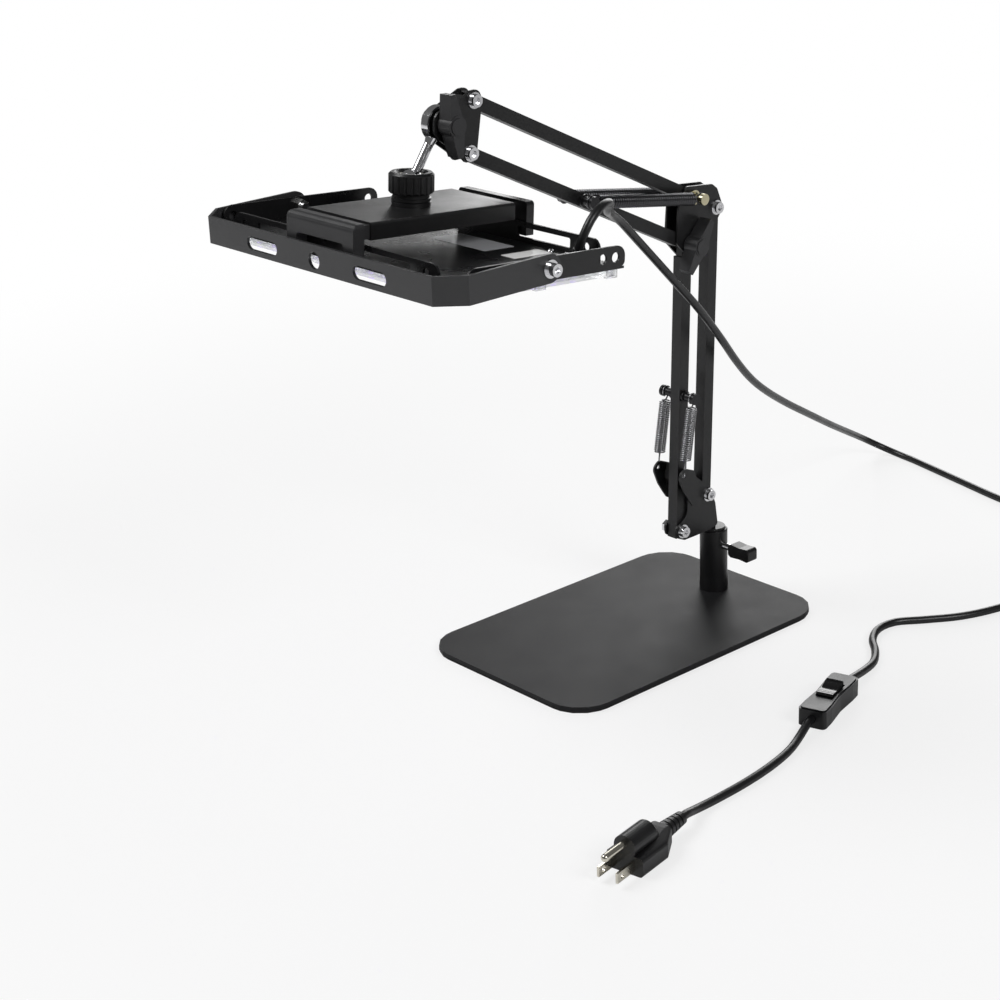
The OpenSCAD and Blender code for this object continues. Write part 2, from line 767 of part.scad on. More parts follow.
// Long bolt on which the top tube turns and the upper springs are hooked
module spring_bolt() {
    color("#b9b283") {
        xrod(pivot_r, -spring_x - 3, spring_x + 3, elbow_top_pivot);
        both_sides() xrod(head_d / 2, spring_x + 1.4, spring_x + 4.2, elbow_top_pivot);
        both_sides() xrod(washer_d / 2, plate_out, head_in, elbow_top_pivot);
        both_sides() xhex(head_d / 2, head_in, head_in + 2.2, elbow_top_pivot);
    }
}

module elbow_bolt() {
    color("silver") {
        xrod(pivot_r, -head_in, plate_out + 0.8 + knob_bore, elbow_pivot);
        xrod(washer_d / 2, -head_in, -plate_out, elbow_pivot);
        xhex(head_d / 2, -head_in - head_h, -head_in, elbow_pivot);
    }
}

module elbow_knob() {
    color("#35353a") wing_knob(elbow_pivot, -42);
}

module upper_bottom_bar() {
    color("#1b1b1e") in_link(elbow_pivot, upper_turn) difference() {
        square_tube(-end_r, upper_len + head_end_r);
        for (z = [0, upper_len]) xrod(hole_r, -tube_w, tube_w, [0, z]);
        translate([-tube_x + tube_wall, -tube_w, -end_r - 1])
            cube([tube_w - 2 * tube_wall, 2 * tube_w, end_r + 1 + fork_clear]);
        xrod(spring_pin_d / 2 + 0.01, -tube_w, tube_w, [0, upper_pin_at]);
    }
}

module upper_top_bar() {
    color("#1b1b1e") in_link(elbow_top_pivot, upper_turn) arm_tube(upper_len, head_end_r);
}

module upper_spring_pin() {
    color("#2a2a2e") spring_pin(upper_pin);
}

// Corners of the head bracket's side plates, relative to its lower pivot
head_corners = [
    [-15.5, 30, 4], [2.2, 37.6, 5], [8.8, 37.8, 5], [11.2, 31.5, 5], [9.8, 23, 4], [5.9, 2, 5],
    [4.5, -5, 4], [-4.2, -5.2, 3], [-9, 0.8, 4], [-27.2, 14.5, 7.5], [-26.8, 28.4, 7.5]
];

module head_bracket() {
    color("#1f1f23") difference() {
        union() {
            both_sides() yz_plate(plate_in, bracket_t)
                polygon(rounded(shifted(head_corners, head_pivot)));
            translate([0, head_pivot[0] - 10.2, head_pivot[1] + 32.27]) rotate([23.2, 0, 0])
                translate([0, 0, -bracket_t - 0.15]) linear_extrude(bracket_t) polygon([
                    [plate_in + 0.01, 0], [plate_in + 0.01, 8.4],
                    [-plate_in - 0.01, 8.4], [-plate_in - 0.01, 5]
                ]);
        }
        for (at = [head_pivot, head_top_pivot])
            xrod(pivot_r + 0.1, -plate_out - 1, plate_out + 1, at);
        xrod(pivot_r + 0.1, -plate_out - 1, plate_out + 1, eye_axis);
    }
}

module head_bolts() {
    color("gainsboro") for (at = [head_pivot, head_top_pivot]) {
        arm_bolt(at);
        arm_nut(at);
    }
}

module tilt_bolt() {
    color("silver") {
        xrod(pivot_r, -head_in, plate_out + 0.8 + knob_bore, eye_axis);
        xrod(washer_d / 2, -head_in, -plate_out, eye_axis);
        xhex(head_d / 2, -head_in - head_h, -head_in, eye_axis);
    }
}

module eye_bush() {
    color("#101012") difference() {
        xrod(bush_r, -plate_in, plate_in, eye_axis);
        xrod(pivot_r + 0.03, -plate_in - 1, plate_in + 1, eye_axis);
    }
}

module head_knob() {
    color("#35353a") wing_knob(eye_axis, -3);
}

module eye_rod() {
    rod_len = rod_run - eye_r + 2;
    color("silver") difference() {
        union() {
            xrod(eye_r, -eye_w / 2, eye_w / 2, eye_axis);
            in_link(ball_at, -rod_lean) translate([0, 0, ball_r * 0.8])
                cylinder(h = rod_len - ball_r * 0.8, d = rod_d);
            in_link(ball_at, -rod_lean) translate([0, 0, rod_len - 5])
                cylinder(h = 4, d1 = rod_d, d2 = rod_d + 2);
        }
        xrod(bush_r + run_gap, -eye_w, eye_w, eye_axis);
        in_link(ball_at, -rod_lean) translate([0, 0, -1])
            cylinder(h = sqrt(ball_r * ball_r - rod_d * rod_d / 4) - 0.2 + 1, d = rod_d + 1);
    }
}

module ball() {
    color("silver") in_link(ball_at, -rod_lean) difference() {
        sphere(ball_r);
        translate([0, 0, sqrt(ball_r * ball_r - rod_d * rod_d / 4) - 0.2]) cylinder(h = ball_r, d = rod_d);
    }
}

// Nylon seat round the ball, inside the neck
module ball_seat() {
    color("#d8d8d2") in_lamp() translate([0, ball_in_lamp[0], ball_in_lamp[1]]) difference() {
        translate([0, 0, -ball_r - 1.8]) cylinder(h = ball_r + 1.8 + 4.9, r = seat_r);
        sphere(ball_r + seat_gap);
        translate([0, 0, 3]) cylinder(h = 5, r = ball_r - 0.3);
    }
}

module ball_neck() {
    r = neck_d / 2;
    color("#1d1d20") in_lamp() translate([0, ball_in_lamp[0], channel_top]) difference() {
        rotate_extrude() polygon([
            [0, 0], [r, 0], [r, 2.4], [r - 0.6, 2.8], [r, 3.2], [r, 4.7], [r - 0.8, 5.1],
            [r - 0.8, 7.3], [thread_r, 7.4], [thread_r, neck_top - channel_top],
            [0, neck_top - channel_top]
        ]);
        translate([0, 0, ball_in_lamp[1] - channel_top - ball_r - 1.9])
            cylinder(h = 40, r = seat_r + run_gap);
    }
}

module ball_collar() {
    r = collar_d / 2;
    groove_r = PI * collar_d / collar_ribs / 4;
    mouth_r = ball_r + 2.2;
    top = collar_h - (neck_top - collar_z) - 0.2;
    color("#18181b") in_lamp() translate([0, ball_in_lamp[0], collar_z]) difference() {
        rotate_extrude() polygon([
            [thread_r + run_gap, 0], [r - 1, 0], [r, 1], [r, collar_h - 1.4],
            [r - 1.4, collar_h], [mouth_r, collar_h], [mouth_r - 1.4, collar_h - top],
            [thread_r + run_gap, collar_h - top]
        ]);
        for (i = [0:collar_ribs - 1]) rotate([0, 0, 360 * i / collar_ribs])
            translate([r + groove_r * 0.35, 0, -1]) cylinder(h = collar_h - 0.9, r = groove_r);
    }
}

// Cross-section of the channel in x, z: a folded sheet, open below
module holder_channel() {
    w = channel_w / 2;
    wall = channel_wall;
    color("#202023") in_lamp() difference() {
        union() {
            translate([0, channel_back, 0]) rotate([90, 0, 0]) linear_extrude(channel_len)
                difference() {
                    polygon(rounded([
                        [-w, channel_z, 0], [w, channel_z, 0],
                        [w, channel_top, 1.6], [-w, channel_top, 1.6]
                    ]));
                    translate([-w + wall, channel_z - 1]) square([2 * (w - wall), channel_h - wall + 1]);
                }
            for (y = [channel_front + 4, channel_back - 6, channel_y + 10])
                translate([-w + wall - 0.01, y, channel_z + wall])
                    cube([2 * (w - wall) + 0.02, 2, channel_h - 2 * wall + 0.01]);
        }
        for (side = [-1, 1]) translate([side * guide_pitch / 2, channel_front - 1, guide_z])
            rotate([-90, 0, 0]) cylinder(h = channel_len + 2, d = guide_d + 2 * run_gap);
    }
}

module holder_cover() {
    color("#202023") in_lamp() translate([-channel_w / 2 + channel_wall + 0.1, channel_front + 0.4, channel_z])
        cube([channel_w - 2 * channel_wall - 0.2, channel_len - 0.8, channel_wall - 0.1]);
}

// Jaw across the pan's flange: a plate with a round top edge and an arch between two legs
module jaw(y0, t, low_z, arch) {
    w = jaw_w / 2;
    translate([0, y0 + t, 0]) rotate([90, 0, 0]) linear_extrude(t)
        polygon(rounded([
            [-w, low_z, 0.6], [-w + 9, low_z, 0.6], [-w + 9.5, arch, 2], [w - 9.5, arch, 3],
            [w - 7.5, low_z, 0.6], [w, low_z, 0.6], [w, channel_top, 2.4], [-w, channel_top, 2.4]
        ]));
}

module front_jaw() {
    front = jaw_front_y - front_jaw_t;
    color("#2a2a2d") in_lamp() {
        intersection() {
            jaw(front, front_jaw_t, back_z + 1.8, 6);
            yz_plate(-jaw_w, 2 * jaw_w) polygon(rounded([
                [front - 0.01, back_z, 0], [jaw_front_y + 1, back_z, 0],
                [jaw_front_y + 1, channel_top + 0.01, 0], [front - 0.01, channel_top + 0.01, 4.5]
            ]));
        }
        translate([-channel_w / 2 + 1, jaw_front_y - 1, channel_z + 0.8])
            cube([channel_w - 2, channel_front - jaw_front_y + 0.9, channel_h - 2.2]);
    }
}

module rear_jaw() {
    color("#2a2a2d") in_lamp() difference() {
        jaw(jaw_back_y, jaw_t, -3, 5);
        for (side = [-1, 1]) translate([side * guide_pitch / 2, jaw_back_y - 1, guide_z])
            rotate([-90, 0, 0]) cylinder(h = jaw_t - 0.4, d = guide_d + 0.04);
    }
}

module guide_rods() {
    color("silver") in_lamp() for (side = [-1, 1])
        translate([side * guide_pitch / 2, 0, guide_z]) rotate([-90, 0, 0]) {
            translate([0, 0, channel_y - 16])
                cylinder(h = jaw_back_y + jaw_t - 1.6 - channel_y + 16, d = guide_d);
            translate([0, 0, channel_y - 16]) cylinder(h = 2, d = guide_d + 2.6);
        }
}

// Springs that pull the rear jaw in, as plain sleeves inside the channel
module jaw_springs() {
    color("#8b8b90") in_lamp() for (side = [-1, 1])
        translate([side * guide_pitch / 2, channel_y - 13.7, guide_z]) rotate([-90, 0, 0]) difference() {
            cylinder(h = 23.4, d = guide_d + 2.2);
            translate([0, 0, -1]) cylinder(h = 26, d = guide_d + 0.4);
        }
}

// Front or rear flange of the pan: holes near the ends and two windows
module cross_flange(y0) {
    half = pan_x - 19;
    mid = (flange_top + back_z) / 2;
    difference() {
        translate([0, y0 + pan_t, 0]) rotate([90, 0, 0]) linear_extrude(pan_t)
            polygon(rounded([
                [-half, back_z - 0.01, 0], [half, back_z - 0.01, 0],
                [half, flange_top, 6], [-half, flange_top, 6]
            ]));
        for (side = [-1, 1]) {
            translate([side * (half - 11), y0 - 1, mid + 0.15]) rotate([-90, 0, 0])
                cylinder(h = pan_t + 2, d = 5);
            translate([side * 49.5, y0 - 1, mid - 0.05]) rotate([-90, 0, 0])
                linear_extrude(pan_t + 2) round_rect(47, 6, 1.2);
        }
    }
}

// Side flange of the pan, with the pivot hole, one front hole and its rear holes
module side_flange(rear_holes) {
    y_front = -pan_y + 4.5;
    y_back = pan_y + 1.2;
    difference() {
        yz_plate(pan_x - pan_t, pan_t) polygon(rounded([
            [y_front, back_z - 0.01, 0], [y_back, back_z - 0.01, 3],
            [y_back, flange_top, 6.5], [y_front, flange_top, 6.5]
        ]));
        xrod(pivot_r + 0.05, 0, pan_w, [0, 0]);
        xrod(3, 0, pan_w, [y_front + 6.6, -1]);
        for (i = [0:rear_holes - 1]) xrod(3, 0, pan_w, [y_back - 7.5 - 10.2 * i, -1]);
    }
}

module lamp_pan() {
    cut = 17;
    rear = pan_y + 1.2;
    color("#1a1a1d") in_lamp() {
        difference() {
            translate([0, 0, back_z - pan_t]) linear_extrude(pan_t) polygon([
                [-pan_x, -pan_y + 6.5], [-pan_x + cut, -pan_y], [pan_x - cut, -pan_y],
                [pan_x, -pan_y + 6.5], [pan_x, rear - 0.5], [pan_x - pan_t, rear - 0.5],
                [pan_x - cut, pan_y], [-pan_x + cut, pan_y], [-pan_x + pan_t, rear - 0.5],
                [-pan_x, rear - 0.5]
            ]);
            translate([gland_at[0], gland_at[1], back_z - pan_t - 1]) cylinder(h = pan_t + 2, d = 7);
        }
        cross_flange(-pan_y);
        cross_flange(pan_y - pan_t);
        side_flange(2);
        mirror([1, 0, 0]) side_flange(1);
    }
}

module led_board() {
    color("white") in_lamp() translate([-board_w / 2, -board_d / 2, back_z - pan_t - board_t])
        cube([board_w, board_d, board_t]);
}

module leds() {
    step_x = board_w * 0.92 / led_columns;
    step_y = board_d * 0.89 / led_rows;
    color("#b070ff") in_lamp() for (i = [0:led_columns - 1], j = [0:led_rows - 1])
        translate([
            (i - (led_columns - 1) / 2) * step_x - 1.75,
            (j - (led_rows - 1) / 2) * step_y - 1.75,
            back_z - pan_t - board_t - chip_h
        ]) cube([3.5, 3.5, chip_h]);
}

// Clear tray that closes the light side of the pan
module clear_cover() {
    color([0.85, 0.9, 0.95, 0.4]) in_lamp() difference() {
        translate([0, 0, cover_z]) linear_extrude(cover_h) round_rect(cover_w, cover_d, 5);
        translate([0, 0, cover_z + cover_t]) linear_extrude(cover_h)
            round_rect(cover_w - 2 * cover_t, cover_d - 2 * cover_t, 5 - cover_t);
    }
}

// Clips at the cover's long and short edges
module cover_clips() {
    clip_w = 8;
    color("#c9c9cf") in_lamp() for (side = [-1, 1], y = [-0.46, 0, 0.46] * cover_d)
        translate([side * (cover_w / 2 + 0.1), y, cover_z - 0.9]) {
            translate([side > 0 ? 0 : -1.2, -clip_w / 2, 0]) cube([1.2, clip_w, cover_h + 0.9]);
            translate([side > 0 ? -2 : -1.2, -clip_w / 2, 0]) cube([3.2, clip_w, 0.8]);
        }
}

module mounting_bracket() {
    corner_x = 14;
    corner_y = 15;
    out = side_bolt_x;
    front = -yoke_reach;
    color("#37373b") translate([0, lamp_at[0], lamp_at[1]]) difference() {
        union() {
            translate([0, 0, -yoke_h / 2]) linear_extrude(yoke_h) difference() {
                polygon([
                    [-out, 0], [-out, front + corner_y], [-out + corner_x, front],
                    [out - corner_x, front], [out, front + corner_y], [out, 0]
                ]);
                polygon([
                    [-out + yoke_t, 1], [-out + yoke_t, front + corner_y + 0.55],
                    [-out + corner_x + 0.9, front + yoke_t], [out - corner_x - 0.9, front + yoke_t],
                    [out - yoke_t, front + corner_y + 0.55], [out - yoke_t, 1]
                ]);
            }
            both_sides() xrod(yoke_h / 2, arm_in, out, [0, 0]);
        }
        both_sides() xrod(pivot_r + run_gap, arm_in - 1, out + 1, [0, 0]);
        translate([0, front - 1, -1]) rotate([-90, 0, 0]) cylinder(h = yoke_t + 2, d = centre_hole_d);
        for (side = [-1, 1]) for (end = [-1, 1])
            translate([side * slot_pitch / 2 + end * (slot_len - slot_w) / 2, front - 1, -1])
                rotate([-90, 0, 0]) cylinder(h = yoke_t + 2, d = slot_w);
        for (side = [-1, 1])
            translate([side * slot_pitch / 2 - (slot_len - slot_w) / 2, front - 1, -1 - slot_w / 2])
                cube([slot_len - slot_w, yoke_t + 2, slot_w]);
    }
}

module bracket_bolts() {
    color("gainsboro") in_lamp() both_sides() difference() {
        union() {
            xrod(pivot_r, pan_x - 8, side_bolt_x + 0.3 + washer_t, [0, 0]);
            xrod(washer_d / 2 + 0.4, side_bolt_x + 0.1, side_bolt_x + 0.1 + washer_t, [0, 0]);
            xrod(head_d / 2, side_bolt_x + 0.1 + washer_t, side_bolt_x + 0.1 + washer_t + 5.2, [0, 0]);
        }
        xhex(head_d * 0.28, side_bolt_x + washer_t + 2.6, side_bolt_x + 12, [0, 0]);
    }
}

module bracket_spacers() {
    color("#141416") in_lamp() both_sides() difference() {
        xrod(washer_d / 2, pan_x, arm_in - 0.1, [0, 0]);
        xrod(pivot_r + 0.03, pan_x - 1, arm_in + 1, [0, 0]);
    }
}

module bracket_nuts() {
    color("silver") in_lamp() both_sides() difference() {
        xhex(4.6, pan_x - pan_t - 4, pan_x - pan_t, [0, 0]);
        xrod(pivot_r + 0.02, pan_x - 12, pan_x, [0, 0]);
    }
}

// Tapered strain relief through the pan's back plate
module cord_gland() {
    color("#0f0f11") in_lamp() translate([gland_at[0], gland_at[1], back_z]) {
        translate([0, 0, -pan_t + 0.1]) cylinder(h = pan_t, d = 6.9);
        cylinder(h = 1.4, d = gland_d);
        rotate([-gland_lean[1], gland_lean[0], 0]) translate([0, 0, 1])
            cylinder(h = gland_h - 1, r1 = gland_d * 0.42, r2 = cord_d / 2 + 0.6);
    }
}

hanging_route = cord_route(gland_top, gland_dir, hanging_points, floor_start, floor_start_dir);

module cord_hanging() {
    color("#141416") tube(hanging_route, cord_d / 2, 8);
}

coil_start = [coil_at[0], coil_at[1] + coil_r + coil_step * coil_turns / 4, floor_gap];

module cord_floor() {
    color("#141416") tube(
        cord_route(floor_start, floor_start_dir, floor_points, coil_start - [cord_d, 0, 0], [1, 0, 0]),
        cord_d / 2, 8);
}

// The coil turns clockwise: in for half its sweep, then out a layer higher
function coil_point(a) =
    let (
        half = coil_sweep / 2,
        side = a < half ? a : coil_sweep - a,
        r = coil_r + coil_step * (coil_turns / 4 - side / 360),
        lift = max(0, min(1, (a - half + 90) / 180)),
        down = max(0, min(1, (a - coil_sweep + 70) / 70)),
        z = floor_gap + coil_rise * (lift * lift * (3 - 2 * lift) - down * down * (3 - 2 * down))
    )
    [coil_at[0] + r * sin(a), coil_at[1] + r * cos(a), z];
// The last turn moves outside the first one before it comes down beside it
function coil_widen(a) = (coil_step + 0.2) * max(0, min(1, (a - coil_sweep + 210) / 130));
coil_path = concat(
    [coil_start - [cord_d, 0, 0]],
    [for (i = [0:24 * coil_turns + 6])
        coil_point(i * 15) + coil_widen(i * 15) * [sin(i * 15), cos(i * 15), 0]]
);
coil_end = coil_path[len(coil_path) - 1] - [0, cord_d, 0];

module cord_coil() {
    path = concat(coil_path, [coil_end]);
    echo(coil_gap = least_gap(path, 6, cord_d / 2));
    color("#141416") tube(path, cord_d / 2, 6);
}

function along_switch(d, z) = [
    switch_at[0] + d * cos(switch_turn), switch_at[1] + d * sin(switch_turn), z
];
function along_plug(d, z) = [plug_at[0] + d * cos(plug_turn), plug_at[1] + d * sin(plug_turn), z];
switch_dir = [cos(switch_turn), sin(switch_turn), 0];
plug_dir = [cos(plug_turn), sin(plug_turn), 0];

module cord_to_switch() {
    color("#141416") tube(
        cord_route(coil_end, [0, -1, 0], switch_points, along_switch(-switch_len / 2, switch_cord_z), switch_dir),
        cord_d / 2, 8);
}

module cord_to_plug() {
    color("#141416") tube(
        cord_route(along_switch(switch_len / 2, switch_cord_z), switch_dir, plug_points,
            along_plug(-plug_len - relief_len, plug_cord_z), plug_dir),
        cord_d / 2, 8);
}

// Places the children on the switch, with X along the cord
module in_switch() {
    translate([switch_at[0], switch_at[1], 0]) rotate([0, 0, switch_turn]) children();
}

// Waisted outline of the switch, smaller by inset
module switch_outline(inset) {
    l = switch_len / 2 - inset;
    w = switch_w / 2 - inset;
    polygon(rounded([
        [-l, -w, 2.4], [-l * 0.62, -w, 6], [0, -w + 1.2, 30], [l * 0.62, -w, 6], [l, -w, 2.4],
        [l, w, 2.4], [l * 0.62, w, 6], [0, w - 1.2, 30], [-l * 0.62, w, 6], [-l, w, 2.4]
    ]));
}

switch_split = 6.4;

module switch_top() {
    color("#1b1b1e") in_switch() difference() {
        translate([0, 0, switch_split]) {
            linear_extrude(switch_h - switch_split - 1) switch_outline(0);
            linear_extrude(switch_h - switch_split) switch_outline(1);
        }
        translate([-11 - 2, -6, switch_h - 5]) cube([22, 12, 6]);
        translate([-2, 0, switch_split - 1]) cube([36, 8, 4.6], center = true);
        translate([-2, 0, rocker_axis_z]) rotate([90, 0, 0]) cylinder(h = 13.8, r = 1.36, center = true);
    }
}

module switch_base() {
    color("#1b1b1e") in_switch() {
        linear_extrude(0.9) switch_outline(0.9);
        translate([0, 0, 0.89]) linear_extrude(switch_split - 0.89) switch_outline(0);
    }
}

rocker_tilt = 7;
rocker_axis_z = switch_h - 2.6;

// Rocker with a pad at each end and a pin across its middle, tipped towards the plug
module switch_rocker() {
    color("#101012") in_switch() translate([-2, 0, rocker_axis_z]) rotate([0, rocker_tilt, 0]) difference() {
        union() {
            rotate([90, 0, 0]) translate([0, 0, -5.6]) linear_extrude(11.2) polygon([
                [-9.4, 4.2], [-8.6, 5.8], [-2.4, 4.8], [0, 4], [2.4, 4.8], [8.6, 5.8], [9.4, 4.2],
                [8.6, 0], [0, -1.6], [-8.6, 0]
            ]);
            rotate([90, 0, 0]) cylinder(h = 13.6, r = 1.3, center = true);
        }
        for (x = [-7, -5, 5, 7]) translate([x - 0.3, -6, 5.2]) cube([0.6, 12, 2]);
    }
}

// Places the children on the plug, with X out of its front face
module in_plug() {
    translate([plug_at[0], plug_at[1], 0]) rotate([0, 0, plug_turn]) children();
}

module plug_body() {
    w = plug_w / 2;
    ground_z = blade_z + ground_pitch;
    color("#17171a") in_plug() difference() {
        union() {
            hull() {
                translate([-plug_len * 0.72, 0, 0]) rotate([90, 0, 90]) linear_extrude(plug_len * 0.72)
                    polygon(rounded([[-w, 0.4, 2.5], [w, 0.4, 2.5], [w, 12.5, 3], [-w, 12.5, 3]]));
                translate([-plug_len - 2, 0, 0]) rotate([90, 0, 90]) linear_extrude(4)
                    polygon(rounded([[-7, 2.2, 2], [7, 2.2, 2], [7, 14.5, 3], [-7, 14.5, 3]]));
            }
            hull() {
                translate([-plug_len * 0.62, 0, ground_z - 2.4]) rotate([0, 90, 0])
                    cylinder(h = plug_len * 0.62, r = 7.4, $fn = 32);
                translate([-plug_len * 0.72, 0, ground_z - 5]) rotate([0, 90, 0])
                    cylinder(h = plug_len * 0.3, r = 6.2, $fn = 32);
            }
            translate([-plug_len - relief_len, 0, plug_cord_z]) rotate([0, 90, 0])
                cylinder(h = relief_len + 3, r1 = cord_d / 2 + 1.4, r2 = 6);
        }
        for (i = [0:3]) translate([-plug_len - 5 - i * 4, 0, plug_cord_z]) rotate([0, -90, 0])
            rotate_extrude() translate([5 - i * 0.42, 0]) square([4, 1.2]);
    }
}

module plug_pins() {
    blade_len = 17;
    blade_w = 6.4;
    blade_t = 1.5;
    ground_d = 4.8;
    ground_len = 21;
    color("silver") in_plug() {
        for (side = [-1, 1]) difference() {
            translate([0, side * blade_pitch / 2 - blade_t / 2, blade_z - blade_w / 2])
                cube([blade_len, blade_t, blade_w]);
            translate([blade_len - 4.6, side * blade_pitch / 2 - 2, blade_z]) rotate([-90, 0, 0])
                cylinder(h = 4, d = 3.2);
        }
        translate([0, 0, blade_z + ground_pitch]) rotate([0, 90, 0]) {
            cylinder(h = ground_len - ground_d / 2, d = ground_d);
            translate([0, 0, ground_len - ground_d / 2]) sphere(d = ground_d);
        }
    }
}

base_plate();
base_pad();
post();
post_screw();
clamp_screw();
clamp_grip();
swivel_pin();
base_bracket();
base_bolts();
lower_front_bar();
lower_rear_bar();
lower_spring_pin();
lower_spring_left();
lower_spring_right();
elbow_bracket();
elbow_rear_bolt();
spring_bolt();
elbow_bolt();
elbow_knob();
upper_bottom_bar();
upper_top_bar();
upper_spring_pin();
upper_spring_left();
upper_spring_right();
head_bracket();
head_bolts();
tilt_bolt();
eye_bush();
head_knob();
eye_rod();
ball();
ball_seat();
ball_neck();
ball_collar();
holder_channel();
holder_cover();
front_jaw();
rear_jaw();
guide_rods();
jaw_springs();
lamp_pan();
led_board();
leds();
clear_cover();
cover_clips();
mounting_bracket();
bracket_bolts();
bracket_spacers();
bracket_nuts();
cord_gland();
cord_hanging();
cord_floor();
cord_coil();
cord_to_switch();
switch_top();
switch_base();
switch_rocker();
cord_to_plug();
plug_body();
plug_pins();
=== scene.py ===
"""Dresses the exposure lamp: finishes, cords, springs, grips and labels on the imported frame.

Everything is in metres in the frame's own axes: +Z up, -Y towards the lamp, +X towards the
side of the clamp screw and the wing knobs. The origin is on the floor under the post.
"""

import logging
import math
from dataclasses import dataclass, field
from enum import Enum

import bpy
from mathutils import Matrix, Vector


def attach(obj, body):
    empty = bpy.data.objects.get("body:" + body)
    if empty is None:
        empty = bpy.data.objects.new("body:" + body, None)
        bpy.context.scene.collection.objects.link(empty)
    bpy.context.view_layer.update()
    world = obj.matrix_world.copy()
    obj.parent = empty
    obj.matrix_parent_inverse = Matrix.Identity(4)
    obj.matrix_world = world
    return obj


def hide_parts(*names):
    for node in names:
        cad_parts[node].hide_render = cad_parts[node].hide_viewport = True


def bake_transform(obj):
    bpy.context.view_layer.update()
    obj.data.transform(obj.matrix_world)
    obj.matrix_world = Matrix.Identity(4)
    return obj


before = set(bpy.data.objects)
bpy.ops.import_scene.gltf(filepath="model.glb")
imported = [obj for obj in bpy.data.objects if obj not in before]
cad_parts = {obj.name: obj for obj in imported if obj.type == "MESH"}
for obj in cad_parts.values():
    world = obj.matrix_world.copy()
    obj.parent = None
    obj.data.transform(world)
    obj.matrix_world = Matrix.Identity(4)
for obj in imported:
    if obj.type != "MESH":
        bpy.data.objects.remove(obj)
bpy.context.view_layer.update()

LOG = logging.getLogger("exposure_lamp")
MM = 0.001
Colour = tuple[float, float, float]
Point = Vector

# Finishes: cycles for each metre and octaves of the slow drift, octaves of the fine grain, the part
# of the noise's range that is spread over the roughness, and the height of the relief.
DRIFT_SCALE = 38.0
DRIFT_DETAIL = 3.0
GRAIN_DETAIL = 2.0
NOISE_SPAN = (0.3, 0.7)
RELIEF_HEIGHT = 0.0004

# Meshes: facets across a rounded edge, the angle above which an edge is rounded, corners of a
# wire's cross-section, and the distance between the points of a cord.
EDGE_FACETS = 2
SHARP_ANGLE = 32.0
WIRE_SIDES = 8
CORD_STEP = 5 * MM


class Pattern(Enum):
    """How a finish varies over its surface."""

    ORANGE_PEEL = "orange peel"
    MOULDED = "moulded grain"
    BRUSHED = "brushed lines"
    POLISHED = "polished"
    FOAM = "foam cells"


